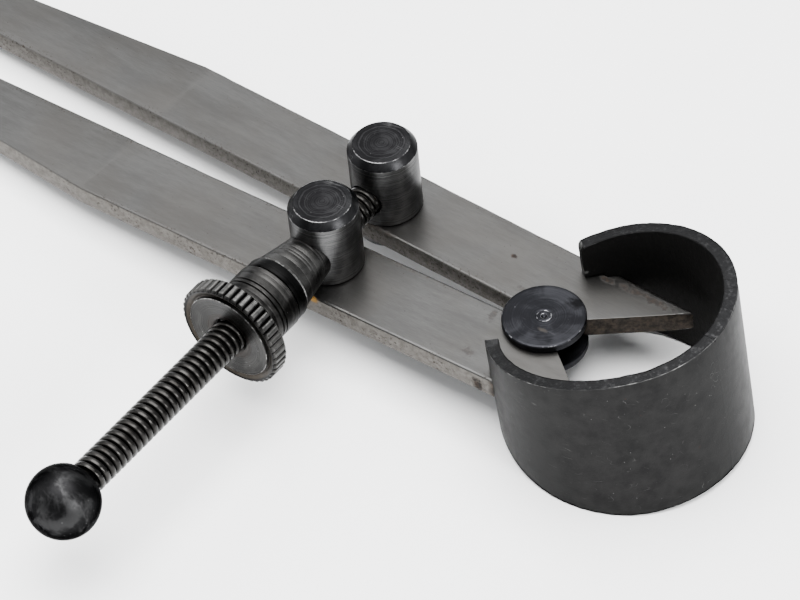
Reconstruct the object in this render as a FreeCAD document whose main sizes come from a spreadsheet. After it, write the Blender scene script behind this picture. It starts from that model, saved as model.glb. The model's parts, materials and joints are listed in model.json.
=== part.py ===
import FreeCAD, Part
import os
import Sketcher

# Bow spring dividers with two flat pointed legs and an adjusting screw.
# Millimetres. The legs point to -X, the bow spring is on +X, the adjusting screw runs
# along -Y to its ball, and the pillars stand up to +Z. Each piece is drawn about the
# fulcrum, at the legs' middle plane. The whole then stands with its origin on the lower
# edge of the bow's back, which is where it touches the bench.

doc = FreeCAD.newDocument("spring_dividers")

SIZES = [
    # legs
    ("leg_thick", 3.0, "thickness of both legs"),
    ("leg_reach", 170.0, "fulcrum to point"),
    ("leg_width", 11.3, "width of the parallel part"),
    ("inner_gap", 0.9, "inner edge to the centre line, legs parallel"),
    ("taper_start", 67.0, "fulcrum to the corner where the taper begins"),
    ("point_long", 13.0, "length of the ground point"),
    ("point_width", 1.9, "leg width where the ground point begins"),
    ("thin_long", 30.0, "length over which the leg thins to the tip"),
    ("tip_size", 0.4, "width and thickness left at the very tip"),
    ("end_angle", 38.7, "angle of the cut upper end, legs parallel"),
    ("rest_angle", 1.49, "each leg's swing from parallel at rest"),
    ("edge_break", 0.3, "dressed chamfer along the long edges"),
    # fulcrum roller
    ("core_radius", 3.5, "roller core between the legs"),
    ("core_play", 0.05, "radial clearance of the leg notches on the core"),
    ("flange_radius", 5.55, "roller flanges"),
    ("flange_thick", 1.1, "each roller flange"),
    ("face_play", 0.06, "clearance between moving flat faces"),
    ("pip_radius", 0.45, "centre drilling of the roller"),
    # bow spring
    ("spring_radius", 16.45, "outside radius of the bow"),
    ("strip_back", 0.611, "strip ends' middle line behind the fulcrum"),
    ("strip_thick", 1.8, "spring strip thickness"),
    ("strip_half", 11.85, "half the strip width at the back"),
    ("strip_mid", 10.3, "half the strip width level with the bow's centre"),
    ("strip_end", 7.2, "half the strip width at its ends"),
    ("strip_in", 2.7, "reach of the strip ends in over the legs"),
    ("spring_tilt", -5.0, "lean of the bow, its back edge high"),
    ("hook_at", 1.0, "hook line of the strip ends past the fulcrum"),
    ("hook_depth", 1.2, "depth of the leg notch that holds the strip"),
    ("hook_play", 0.26, "clearance around the strip in the leg notch"),
    ("hook_gap", 0.05, "gap from the leg notch's floor to the end of the strip's slot"),
    ("slot_play", 0.4, "clearance above and below the leg in the strip's slot"),
    # pillars
    ("pillar_reach", 30.87, "fulcrum to pillar axis"),
    ("pillar_angle", 10.5, "pillar bearing from the centre line, legs parallel"),
    ("pillar_radius", 4.7, "pillar body"),
    ("pillar_high", 11.25, "pillar top above the leg"),
    ("crown_high", 1.05, "height of the pillar's top chamfer"),
    ("crown_wide", 0.82, "radial width of the pillar's top chamfer"),
    ("foot_break", 0.25, "chamfer around the pillar's foot"),
    ("shank_radius", 2.5, "pillar shank through the leg"),
    ("pivot_play", 0.06, "radial clearance of the shank in the leg"),
    ("washer_radius", 4.3, "retaining washer under the leg"),
    ("washer_thick", 0.9, "retaining washer"),
    ("rivet_radius", 3.3, "riveted end of the shank"),
    ("rivet_high", 0.8, "height of the riveted end"),
    # adjusting screw
    ("thread_radius", 2.38, "thread outside radius"),
    ("thread_pitch", 1.058, "thread pitch"),
    ("thread_depth", 0.6, "depth of one thread groove"),
    ("plain_length", 1.6, "plain shank past the anchor pillar"),
    ("anchor_depth", 3.2, "screw end past the anchor pillar's axis"),
    ("seat_play", 0.02, "radial clearance of a fixed seat"),
    ("slide_play", 0.25, "radial clearance where the screw slides through"),
    ("ball_centre", 60.6, "ball centre from the fulcrum along the screw"),
    ("ball_radius", 4.87, "ball on the screw's end"),
    ("ball_face", 3.4, "radius of the ball's flat around the screw"),
    ("ball_depth", 5.2, "screw engagement in the ball"),
    # thrust sleeve, thrust washer and nut
    ("cope_play", 0.05, "sleeve mouth to pillar clearance"),
    ("sleeve_wall", 0.37, "sleeve wall at its small end"),
    ("sleeve_over", 1.25, "gap between the leg and the sleeve's small end"),
    ("sleeve_flare", 1.5, "growth of the sleeve's radius to its large end"),
    ("sleeve_end", 16.6, "sleeve's large end from the centre line"),
    ("ring_radius", 4.8, "thrust washer"),
    ("ring_thick", 1.85, "thrust washer"),
    ("stack_gap", 0.03, "gap between stacked faces on the screw"),
    ("nut_play", 0.05, "radial clearance of the nut on the thread"),
    ("hub_radius", 4.94, "nut hub"),
    ("hub_length", 6.2, "nut hub"),
    ("hub_groove", 0.25, "depth of the turned rings on the hub"),
    ("knurl_radius", 7.68, "over the knurl"),
    ("knurl_wide", 2.6, "knurled rim width"),
    ("knurl_teeth", 44, "teeth around the rim"),
    ("knurl_deep", 0.45, "knurl groove depth"),
    ("face_radius", 6.25, "raised disc on the nut's front"),
    ("face_step", 0.45, "depth of the ring groove around that disc"),
    ("face_dish", 0.3, "how far the disc falls towards the screw"),
]

sheet = doc.addObject("Spreadsheet::Sheet", "dims")
for row, (alias, value, note) in enumerate(SIZES, start=1):
    sheet.set("A%d" % row, alias)
    sheet.set("B%d" % row, str(value))
    sheet.set("C%d" % row, note)
    sheet.setAlias("B%d" % row, alias)
doc.recompute()


def size(formula):
    """Value of a sheet formula, for the first guess of a sketch point."""
    value = sheet.evalExpression(formula)
    return float(getattr(value, "Value", value))


# ---- places shared by several pieces ---------------------------------------

OPEN_BEARING = "(dims.pillar_angle + dims.rest_angle)"
PILLAR_X = "-dims.pillar_reach * cos(%s)" % OPEN_BEARING
PILLAR_Y = "dims.pillar_reach * sin(%s)" % OPEN_BEARING
LEG_TOP = "dims.leg_thick / 2"
OUTER_EDGE = "dims.inner_gap + dims.leg_width"
POINT_START = "(dims.leg_reach - dims.point_long)"
THIN_START = "(dims.leg_reach - dims.thin_long)"
STRIP_EDGE = "(%s - dims.strip_in)" % OUTER_EDGE
BOW_CENTRE = "(sqrt((dims.spring_radius - dims.strip_thick / 2)^2 - %s^2) - dims.strip_back)" \
    % STRIP_EDGE
BACK_X = "(%s - dims.hook_at + dims.spring_radius - dims.strip_thick / 2)" % BOW_CENTRE
REST_X = "(dims.hook_at + %s * cos(dims.spring_tilt) - dims.strip_half * sin(dims.spring_tilt))" \
    % BACK_X
REST_Z = "(-%s * sin(dims.spring_tilt) - dims.strip_half * cos(dims.spring_tilt))" % BACK_X
SLIDE = "(dims.thread_radius + dims.slide_play)"
SLEEVE_SMALL = "(%s + dims.sleeve_wall)" % SLIDE
AXIS_HIGH = "(%s + dims.sleeve_over + %s)" % (LEG_TOP, SLEEVE_SMALL)
FAR = "100"


# ---- small building helpers -------------------------------------------------

def new_body(name, at=("0", "0", "0"), turn="0", axis=(0, 0, 1)):
    """A body placed by sheet formulas: a place from the fulcrum, and a turn about one axis."""
    at = ("%s - %s" % (at[0], REST_X), at[1], "%s - %s" % (at[2], REST_Z))
    body = doc.addObject("PartDesign::Body", name)
    body.Label = name
    body.Placement = FreeCAD.Placement(
        FreeCAD.Vector(size(at[0]), size(at[1]), size(at[2])),
        FreeCAD.Rotation(FreeCAD.Vector(*axis), size(turn)))
    for key, formula in zip("xyz", at):
        body.setExpression("Placement.Base." + key, formula)
    if turn != "0":
        body.setExpression("Placement.Rotation.Angle", turn)
    return body


def new_sketch(body, plane, name):
    """An empty sketch on one of the body's own planes."""
    sketch = body.newObject("Sketcher::SketchObject", body.Label + "_" + name)
    origin = [item for item in body.Origin.OriginFeatures if item.Role == plane + "_Plane"][0]
    sketch.AttachmentSupport = [(origin, "")]
    sketch.MapMode = "FlatFace"
    return sketch


def pin_point(sketch, curve, which, x_formula, y_formula):
    """Hold one sketch point at a place given by two sheet formulas."""
    for kind, formula in (("DistanceX", x_formula), ("DistanceY", y_formula)):
        index = sketch.addConstraint(
            Sketcher.Constraint(kind, -1, 1, curve, which, size(formula)))
        sketch.setExpression("Constraints[%d]" % index, formula)


def polygon(sketch, corners):
    """A closed outline through corners given as pairs of sheet formulas."""
    spots = [FreeCAD.Vector(size(x), size(y), 0) for x, y in corners]
    first = sketch.GeometryCount
    count = len(spots)
    for index in range(count):
        sketch.addGeometry(Part.LineSegment(spots[index], spots[(index + 1) % count]), False)
    for index in range(count):
        after = first + (index + 1) % count
        sketch.addConstraint(Sketcher.Constraint("Coincident", first + index, 2, after, 1))
    for index, (x_formula, y_formula) in enumerate(corners):
        pin_point(sketch, first + index, 1, x_formula, y_formula)


def ring(sketch, radius, x_formula="0", y_formula="0"):
    """A circle whose radius and centre are sheet formulas."""
    centre = FreeCAD.Vector(size(x_formula), size(y_formula), 0)
    index = sketch.addGeometry(Part.Circle(centre, FreeCAD.Vector(0, 0, 1), size(radius)), False)
    limit = sketch.addConstraint(Sketcher.Constraint("Radius", index, size(radius)))
    sketch.setExpression("Constraints[%d]" % limit, radius)
    pin_point(sketch, index, 3, x_formula, y_formula)


def pad(body, sketch, length):
    """Extrude a sketch evenly to both sides of its plane."""
    feature = body.newObject("PartDesign::Pad", sketch.Label + "_pad")
    feature.Profile = sketch
    feature.SideType = "Symmetric"
    feature.setExpression("Length", length)
    sketch.Visibility = False
    return feature


def pocket(body, sketch, length):
    """Cut a sketch evenly to both sides of its plane."""
    feature = body.newObject("PartDesign::Pocket", sketch.Label + "_cut")
    feature.Profile = sketch
    feature.SideType = "Symmetric"
    feature.setExpression("Length", length)
    sketch.Visibility = False
    return feature


def turned(body, name, plane, axis, corners):
    """A solid of revolution from an outline on one of the body's planes."""
    sketch = new_sketch(body, plane, name)
    polygon(sketch, corners)
    feature = body.newObject("PartDesign::Revolution", body.Label + "_" + name + "_turn")
    feature.Profile = sketch
    feature.ReferenceAxis = (sketch, [axis])
    feature.Angle = 360
    sketch.Visibility = False
    return feature


def soften(body, base, wanted, amount):
    """Chamfer the edges of a feature for which wanted(edge) is true."""
    doc.recompute()
    names = ["Edge%d" % (index + 1)
             for index, edge in enumerate(base.Shape.Edges) if wanted(edge)]
    feature = body.newObject("PartDesign::Chamfer", base.Label + "_break")
    feature.Base = (base, names)
    feature.setExpression("Size", amount)
    return feature


# ---- legs -------------------------------------------------------------------

def leg(name, side, turn):
    """One leg drawn with its inner edge parallel to X, then swung to its rest angle.

    side is +1 for the leg on +Y and -1 for the one on -Y.
    """
    def across(formula):
        return "%d * (%s)" % (side, formula)

    body = new_body(name, turn=turn)
    outline = new_sketch(body, "XY", "outline")
    polygon(outline, [
        ("-dims.leg_reach", across("dims.inner_gap")),
        ("-dims.leg_reach", across("dims.inner_gap + dims.point_width")),
        ("-" + POINT_START, across("dims.inner_gap + dims.point_width")),
        ("-dims.taper_start", across(OUTER_EDGE)),
        ("(%s) / tan(dims.end_angle)" % OUTER_EDGE, across(OUTER_EDGE)),
        ("dims.inner_gap / tan(dims.end_angle)", across("dims.inner_gap")),
    ])
    plate = pad(body, outline, "dims.leg_thick")
    half = size("dims.leg_thick") / 2

    def long_edge(edge):
        box = edge.BoundBox
        return box.ZLength < 1e-6 and box.XLength > 20 and abs(abs(box.ZMax) - half) < 1e-6
    soften(body, plate, long_edge, "dims.edge_break")

    seat = new_sketch(body, "XY", "roller_seat")
    ring(seat, "dims.core_radius + dims.core_play")
    pocket(body, seat, FAR)

    hole = new_sketch(body, "XY", "pillar_hole")
    ring(hole, "dims.shank_radius + dims.pivot_play",
         "-dims.pillar_reach * cos(dims.pillar_angle)",
         across("dims.pillar_reach * sin(dims.pillar_angle)"))
    pocket(body, hole, FAR)

    notch = new_sketch(body, "XY", "spring_notch")
    polygon(notch, [(x, across(y)) for x, y in notch_corners()])
    pocket(body, notch, FAR)

    point = new_sketch(body, "XY", "point")
    polygon(point, [
        ("-" + POINT_START, across("dims.inner_gap + dims.point_width")),
        ("-dims.leg_reach - 1", across("dims.inner_gap + dims.tip_size")),
        ("-dims.leg_reach - 1", across("dims.inner_gap + dims.point_width + 1")),
        ("-" + POINT_START, across("dims.inner_gap + dims.point_width + 1")),
    ])
    pocket(body, point, FAR)

    for sign, where in ((1, "top"), (-1, "bottom")):
        thin = new_sketch(body, "XZ", "thin_" + where)
        polygon(thin, [
            ("-" + THIN_START, "%d * dims.leg_thick / 2" % sign),
            ("-dims.leg_reach - 1", "%d * dims.tip_size / 2" % sign),
            ("-dims.leg_reach - 1", "%d * dims.leg_thick" % sign),
            ("-" + THIN_START, "%d * dims.leg_thick" % sign),
        ])
        pocket(body, thin, FAR)
    return body


def strip_x(radius, y_formula):
    """Where the bow's circle of the given radius crosses a line y on the fulcrum side."""
    return "%s - sqrt((%s)^2 - (%s)^2)" % (BOW_CENTRE, radius, y_formula)


def notch_corners():
    """Outline of the notch that takes the strip, cut past the leg's outer edge.

    The strip stands where it does at rest, so its corners are turned back into the leg.
    """
    outside = OUTER_EDGE + " + 0.6"
    floor = OUTER_EDGE + " - dims.hook_depth"
    inner = "dims.spring_radius - dims.strip_thick"
    corners = [
        (strip_x("dims.spring_radius", outside) + " - dims.hook_play", outside),
        (strip_x("dims.spring_radius", floor) + " - dims.hook_play", floor),
        (strip_x(inner, floor) + " + dims.hook_play", floor),
        (strip_x(inner, outside) + " + dims.hook_play", outside),
    ]
    return [("(%s) * cos(dims.rest_angle) - (%s) * sin(dims.rest_angle)" % corner,
             "(%s) * sin(dims.rest_angle) + (%s) * cos(dims.rest_angle)" % corner)
            for corner in corners]


leg("anchor_leg", 1, "-dims.rest_angle")
leg("nut_leg", -1, "dims.rest_angle")


# ---- fulcrum roller ---------------------------------------------------------

roller = new_body("fulcrum_roller")
FLANGE_IN = "dims.leg_thick / 2 + dims.face_play"
FLANGE_OUT = FLANGE_IN + " + dims.flange_thick"
turned(roller, "spool", "XZ", "V_Axis", [
    ("0", "-(%s)" % FLANGE_OUT),
    ("dims.flange_radius", "-(%s)" % FLANGE_OUT),
    ("dims.flange_radius", "-(%s)" % FLANGE_IN),
    ("dims.core_radius", "-(%s)" % FLANGE_IN),
    ("dims.core_radius", FLANGE_IN),
    ("dims.flange_radius", FLANGE_IN),
    ("dims.flange_radius", FLANGE_OUT),
    ("dims.pip_radius", FLANGE_OUT),
    ("0", FLANGE_OUT + " - dims.pip_radius"),
])


# ---- bow spring -------------------------------------------------------------

bow = new_body("bow_spring", at=("dims.hook_at", "0", "0"), turn="dims.spring_tilt",
               axis=(0, 1, 0))
hoop = new_sketch(bow, "XY", "hoop")
BOW_OWN_X = BOW_CENTRE + " - dims.hook_at"
ring(hoop, "dims.spring_radius", BOW_OWN_X)
ring(hoop, "dims.spring_radius - dims.strip_thick", BOW_OWN_X)
pad(bow, hoop, "2 * dims.strip_half")

mouth = new_sketch(bow, "XY", "mouth")
polygon(mouth, [("-12", "-" + STRIP_EDGE), ("4", "-" + STRIP_EDGE),
                ("4", STRIP_EDGE), ("-12", STRIP_EDGE)])
pocket(bow, mouth, FAR)

for sign, where in ((1, "top"), (-1, "bottom")):
    narrow = new_sketch(bow, "XZ", "narrow_" + where)
    polygon(narrow, [
        ("-4", "%d * dims.strip_end" % sign),
        (BOW_OWN_X, "%d * dims.strip_mid" % sign),
        (BOW_OWN_X + " + 0.7 * dims.spring_radius", "%d * dims.strip_half" % sign),
        (BOW_OWN_X + " + 0.7 * dims.spring_radius", "%d * (dims.strip_half + 5)" % sign),
        ("-8", "%d * (dims.strip_half + 5)" % sign),
        ("-8", "%d * dims.strip_end" % sign),
    ])
    pocket(bow, narrow, FAR)

SLOT_FLOOR = "(%s - dims.hook_depth + dims.hook_gap)" % OUTER_EDGE
SLOT_HALF = "(%s + dims.slot_play)" % LEG_TOP
for sign, where in ((1, "left"), (-1, "right")):
    slot = new_sketch(bow, "YZ", "slot_" + where)
    polygon(slot, [
        ("%d * 5" % sign, "-" + SLOT_HALF),
        ("%d * %s" % (sign, SLOT_FLOOR), "-" + SLOT_HALF),
        ("%d * %s" % (sign, SLOT_FLOOR), SLOT_HALF),
        ("%d * 5" % sign, SLOT_HALF),
    ])
    pocket(bow, slot, "12")


# ---- pillars, washers and screw --------------------------------------------

FOOT = "(dims.leg_thick / 2 + dims.face_play)"
PILLAR_TOP = "(%s + dims.pillar_high)" % LEG_TOP
WASHER_TOP = FOOT
WASHER_LOW = "(%s + dims.washer_thick)" % FOOT


def pillar(name, side, bore_radius, blind):
    """A pillar that swivels in a leg, cross bored for the screw along Y.

    A blind bore stops short of the pillar's far wall; the other one goes right through.
    """
    body = new_body(name, at=(PILLAR_X, "%d * (%s)" % (side, PILLAR_Y), "0"))
    turned(body, "post", "XZ", "V_Axis", [
        ("0", PILLAR_TOP),
        ("dims.pillar_radius - dims.crown_wide", PILLAR_TOP),
        ("dims.pillar_radius", PILLAR_TOP + " - dims.crown_high"),
        ("dims.pillar_radius", FOOT + " + dims.foot_break"),
        ("dims.pillar_radius - dims.foot_break", FOOT),
        ("dims.shank_radius", FOOT),
        ("dims.shank_radius", "-" + WASHER_LOW),
        ("dims.rivet_radius", "-" + WASHER_LOW),
        ("dims.rivet_radius - 0.7", "-(%s + dims.rivet_high)" % WASHER_LOW),
        ("0", "-(%s + dims.rivet_high)" % WASHER_LOW),
    ])
    bore = new_sketch(body, "YZ", "bore")
    near = "-dims.pillar_radius - 1"
    away = "dims.anchor_depth" if blind else "dims.pillar_radius + 1"
    polygon(bore, [(near, AXIS_HIGH), (away, AXIS_HIGH),
                   (away, AXIS_HIGH + " + " + bore_radius),
                   (near, AXIS_HIGH + " + " + bore_radius)])
    axis = bore.addGeometry(
        Part.LineSegment(FreeCAD.Vector(-20, size(AXIS_HIGH), 0),
                         FreeCAD.Vector(20, size(AXIS_HIGH), 0)), True)
    pin_point(bore, axis, 1, "-20", AXIS_HIGH)
    pin_point(bore, axis, 2, "20", AXIS_HIGH)
    cut = body.newObject("PartDesign::Groove", name + "_bore_cut")
    cut.Profile = bore
    cut.ReferenceAxis = (bore, ["Axis0"])
    cut.Angle = 360
    bore.Visibility = False
    return body


def washer(name, side):
    """The retaining washer between a leg's underside and the riveted shank end."""
    body = new_body(name, at=(PILLAR_X, "%d * (%s)" % (side, PILLAR_Y), "0"))
    turned(body, "disc", "XZ", "V_Axis", [
        ("dims.shank_radius + dims.seat_play", "-" + WASHER_TOP),
        ("dims.washer_radius", "-" + WASHER_TOP),
        ("dims.washer_radius", "-%s + 0.02" % WASHER_LOW),
        ("dims.shank_radius + dims.seat_play", "-%s + 0.02" % WASHER_LOW),
    ])


pillar("anchor_pillar", 1, "dims.thread_radius + dims.seat_play", True)
pillar("nut_pillar", -1, SLIDE, False)
washer("anchor_washer", 1)
washer("nut_washer", -1)

SCREW_AT = (PILLAR_X, "0", AXIS_HIGH)
SCREW_TOP = "(%s + dims.anchor_depth - 0.05)" % PILLAR_Y
SCREW_END = "-(dims.ball_centre - dims.ball_radius + dims.ball_depth)"
THREAD_TOP = "(%s - dims.pillar_radius - dims.plain_length)" % PILLAR_Y
ROOT = "dims.thread_radius - dims.thread_depth"

screw = new_body("adjusting_screw", at=SCREW_AT)
turned(screw, "rod", "YZ", "H_Axis", [
    (SCREW_TOP, "0"),
    (SCREW_TOP, "dims.thread_radius - 0.3"),
    (SCREW_TOP + " - 0.3", "dims.thread_radius"),
    (SCREW_END + " + 0.5", "dims.thread_radius"),
    (SCREW_END, "dims.thread_radius - 0.5"),
    (SCREW_END, "0"),
])
cutter = new_sketch(screw, "YZ", "groove")
polygon(cutter, [
    (THREAD_TOP, "dims.thread_radius + 0.1"),
    (THREAD_TOP + " - dims.thread_pitch * 0.45", ROOT),
    (THREAD_TOP + " - dims.thread_pitch * 0.55", ROOT),
    (THREAD_TOP + " - dims.thread_pitch", "dims.thread_radius + 0.1"),
])
groove = screw.newObject("PartDesign::Groove", "adjusting_screw_groove_cut")
groove.Profile = cutter
groove.ReferenceAxis = (cutter, ["H_Axis"])
groove.Angle = 360
cutter.Visibility = False
doc.recompute()
thread = screw.newObject("PartDesign::LinearPattern", "adjusting_screw_thread")
thread.Originals = [groove]
thread.Direction = (cutter, ["H_Axis"])
thread.Reversed = True
thread.Mode = "Spacing"
thread.setExpression("Offset", "dims.thread_pitch")
thread.setExpression("Occurrences", "floor((%s - (%s) - dims.ball_depth) / dims.thread_pitch)"
                     % (THREAD_TOP, SCREW_END))
screw.Tip = thread

ball = new_body("ball_end", at=(PILLAR_X, "-dims.ball_centre", AXIS_HIGH))
sphere = ball.newObject("PartDesign::AdditiveSphere", "ball_end_sphere")
sphere.setExpression("Radius", "dims.ball_radius")


def lathe_cut(body, name, corners):
    """Cut an outline turned about the body's own Y axis."""
    sketch = new_sketch(body, "YZ", name)
    polygon(sketch, corners)
    cut = body.newObject("PartDesign::Groove", body.Label + "_" + name + "_cut")
    cut.Profile = sketch
    cut.ReferenceAxis = (sketch, ["H_Axis"])
    cut.Angle = 360
    sketch.Visibility = False
    return cut


def box_corners(low, high, radius):
    """Outline of a plain round cut from low to high along Y."""
    return [(low, "0"), (high, "0"), (high, radius), (low, radius)]


lathe_cut(ball, "face", box_corners("sqrt(dims.ball_radius^2 - dims.ball_face^2)",
                                    "dims.ball_radius + 1", "dims.ball_radius + 1"))
lathe_cut(ball, "hole", box_corners("dims.ball_radius - dims.ball_depth - 0.1",
                                    "dims.ball_radius + 1",
                                    "dims.thread_radius + dims.seat_play"))

# The sleeve's mouth is coped to the pillar it bears on, so it turns with that pillar.
sleeve = new_body("thrust_sleeve", at=SCREW_AT)
turned(sleeve, "cone", "YZ", "H_Axis", [
    ("-(%s) - dims.pillar_radius * 0.4" % PILLAR_Y, SLIDE),
    ("-(%s) - dims.pillar_radius * 0.4" % PILLAR_Y, SLEEVE_SMALL),
    ("-dims.sleeve_end", SLEEVE_SMALL + " + dims.sleeve_flare"),
    ("-dims.sleeve_end", SLIDE),
])
cope = new_sketch(sleeve, "XY", "cope")
ring(cope, "dims.pillar_radius + dims.cope_play", "0", "-(%s)" % PILLAR_Y)
pocket(sleeve, cope, FAR)

RING_NEAR = "(dims.sleeve_end + dims.stack_gap)"
thrust = new_body("thrust_washer", at=SCREW_AT)
turned(thrust, "ring", "YZ", "H_Axis", [
    ("-" + RING_NEAR, SLIDE),
    ("-" + RING_NEAR, "dims.ring_radius - 0.15"),
    ("-%s - 0.15" % RING_NEAR, "dims.ring_radius"),
    ("-%s - dims.ring_thick + 0.15" % RING_NEAR, "dims.ring_radius"),
    ("-%s - dims.ring_thick" % RING_NEAR, "dims.ring_radius - 0.15"),
    ("-%s - dims.ring_thick" % RING_NEAR, SLIDE),
])

# The nut's own origin is the middle of its knurled rim; Y runs back towards the legs.
NUT_Y = "-(%s + dims.ring_thick + dims.stack_gap + dims.hub_length + dims.knurl_wide / 2)" \
    % RING_NEAR
HALF = "dims.knurl_wide / 2"
NUT_BORE = "dims.thread_radius + dims.nut_play"
nut = new_body("knurled_nut", at=(PILLAR_X, NUT_Y, AXIS_HIGH))
turned(nut, "blank", "YZ", "H_Axis", [
    (HALF + " + dims.hub_length", NUT_BORE),
    (HALF + " + dims.hub_length", "dims.hub_radius - 0.2"),
    (HALF + " + dims.hub_length - 0.2", "dims.hub_radius"),
    (HALF + " + dims.hub_length * 0.60", "dims.hub_radius"),
    (HALF + " + dims.hub_length * 0.56", "dims.hub_radius - dims.hub_groove"),
    (HALF + " + dims.hub_length * 0.52", "dims.hub_radius"),
    (HALF + " + dims.hub_length * 0.46", "dims.hub_radius"),
    (HALF + " + dims.hub_length * 0.42", "dims.hub_radius - dims.hub_groove"),
    (HALF + " + dims.hub_length * 0.38", "dims.hub_radius"),
    (HALF, "dims.hub_radius"),
    (HALF, "dims.knurl_radius - 0.3"),
    (HALF + " - 0.3", "dims.knurl_radius"),
    ("0.3 - " + HALF, "dims.knurl_radius"),
    ("-" + HALF, "dims.knurl_radius - 0.4"),
    ("dims.face_step - " + HALF, "dims.face_radius + 0.25"),
    ("dims.face_step - " + HALF, "dims.face_radius"),
    ("-" + HALF, "dims.face_radius"),
    ("dims.face_dish - " + HALF, NUT_BORE),
])
tooth = new_sketch(nut, "XZ", "tooth_gap")
HALF_GAP = "0.32 * 6.2832 * dims.knurl_radius / dims.knurl_teeth"
polygon(tooth, [
    ("-" + HALF_GAP, "dims.knurl_radius + 0.1"),
    ("0", "dims.knurl_radius - dims.knurl_deep"),
    (HALF_GAP, "dims.knurl_radius + 0.1"),
])
gap = pocket(nut, tooth, "dims.knurl_wide + 1")
doc.recompute()
knurl = nut.newObject("PartDesign::PolarPattern", "knurled_nut_knurl")
knurl.Originals = [gap]
knurl.Axis = (tooth, ["N_Axis"])
knurl.Angle = 360
knurl.setExpression("Occurrences", "dims.knurl_teeth")
nut.Tip = knurl

# ---- checks and export ------------------------------------------------------

doc.recompute()
for item in doc.Objects:
    if "Invalid" in item.State or "Error" in item.State:
        raise RuntimeError("%s did not rebuild: %s" % (item.Label, item.State))

bodies = [item for item in doc.Objects if item.TypeId == "PartDesign::Body"]
os.makedirs("parts", exist_ok=True)
for item in bodies:
    shape = item.Shape
    if shape.isNull() or not shape.isValid() or len(shape.Solids) != 1:
        raise RuntimeError("%s is not one sound solid" % item.Label)
    shape.exportStep("parts/%s.step" % item.Label)
    print("%-18s %8.1f mm3" % (item.Label, shape.Volume))
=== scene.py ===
import json
import math
import bmesh
import bpy
from mathutils import Matrix, Vector


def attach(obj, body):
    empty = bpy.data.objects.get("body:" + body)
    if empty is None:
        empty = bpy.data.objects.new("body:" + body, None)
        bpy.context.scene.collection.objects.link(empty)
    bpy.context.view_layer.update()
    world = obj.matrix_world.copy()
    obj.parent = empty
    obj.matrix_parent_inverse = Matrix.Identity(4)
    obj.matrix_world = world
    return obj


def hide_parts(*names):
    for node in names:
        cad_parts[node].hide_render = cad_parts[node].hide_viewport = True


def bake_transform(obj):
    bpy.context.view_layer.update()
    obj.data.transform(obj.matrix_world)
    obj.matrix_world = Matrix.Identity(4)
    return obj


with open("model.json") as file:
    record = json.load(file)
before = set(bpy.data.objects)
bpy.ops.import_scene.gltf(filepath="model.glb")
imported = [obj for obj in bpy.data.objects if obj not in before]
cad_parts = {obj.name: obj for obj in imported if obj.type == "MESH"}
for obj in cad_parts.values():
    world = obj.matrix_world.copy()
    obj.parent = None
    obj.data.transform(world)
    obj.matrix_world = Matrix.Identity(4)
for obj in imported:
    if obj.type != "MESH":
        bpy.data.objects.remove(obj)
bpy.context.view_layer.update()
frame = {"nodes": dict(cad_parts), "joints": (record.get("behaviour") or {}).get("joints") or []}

mm = 0.001
jointSpots = {joint["name"]: Vector(joint["pos_m"]) for joint in frame["joints"]}
fulcrum = jointSpots["leg_opening"]
anchorSpot = jointSpots["screw_swivel"]
nutPillarSpot = jointSpots["pillar_swivel"]
screwSpot = Vector((anchorSpot.x, fulcrum.y, jointSpots["nut_turn"].z))  # screw axis on the centre line
screwAxis = (0, -1, 0)  # from the pillars towards the ball
alongScrew = (math.pi / 2, 0, 0)  # turns a piece's own Z to the screw's axis
mergeGap = 0.000002  # vertices closer than this are made one


# tools for modelling, with sizes in mm

def startFresh():
    if bpy.context.object and bpy.context.object.mode != "OBJECT":
        bpy.ops.object.mode_set(mode="OBJECT")
    bpy.ops.object.select_all(action="DESELECT")


def makeActive(obj):
    startFresh()
    obj.select_set(True)
    bpy.context.view_layer.objects.active = obj


def enterEdit(obj):
    makeActive(obj)
    bpy.ops.object.mode_set(mode="EDIT")


def leaveEdit():
    bpy.ops.object.mode_set(mode="OBJECT")


def selectWhere(obj, kind, test):  # kind is VERT, EDGE or FACE
    bpy.ops.mesh.select_mode(type=kind)
    bpy.ops.mesh.select_all(action="DESELECT")
    mesh = bmesh.from_edit_mesh(obj.data)
    parts = {"VERT": mesh.verts, "EDGE": mesh.edges, "FACE": mesh.faces}[kind]
    for part in parts:
        if test(part):
            part.select_set(True)
    mesh.select_flush_mode()
    bmesh.update_edit_mesh(obj.data)


def selectOpenEdges():
    bpy.ops.mesh.select_mode(type="EDGE")
    bpy.ops.mesh.select_all(action="DESELECT")
    bpy.ops.mesh.select_non_manifold(extend=False, use_wire=False, use_boundary=True,
                                     use_multi_face=False, use_non_contiguous=False, use_verts=False)


def middleOf(part):
    return sum((v.co for v in part.verts), Vector()) / len(part.verts)


def tidyMesh(obj):
    enterEdit(obj)
    bpy.ops.mesh.select_all(action="SELECT")
    bpy.ops.mesh.remove_doubles(threshold=mergeGap)
    bpy.ops.mesh.normals_make_consistent(inside=False)
    leaveEdit()


def applyModifier(obj, kind, **settings):
    makeActive(obj)
    modifier = obj.modifiers.new(kind.lower(), kind)
    for key, value in settings.items():
        setattr(modifier, key, value)
    bpy.ops.object.modifier_apply(modifier=modifier.name)


def cutAway(obj, cutter):
    applyModifier(obj, "BOOLEAN", object=cutter, operation="DIFFERENCE", solver="EXACT")
    bpy.data.objects.remove(cutter)


def roundEdges(obj, width, segments, angle):
    applyModifier(obj, "BEVEL", width=width * mm, segments=segments, limit_method="ANGLE",
                  angle_limit=math.radians(angle), use_clamp_overlap=True, miter_outer="MITER_ARC")


def applyPlace(obj):
    makeActive(obj)
    bpy.ops.object.transform_apply(location=True, rotation=True, scale=True)


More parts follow.
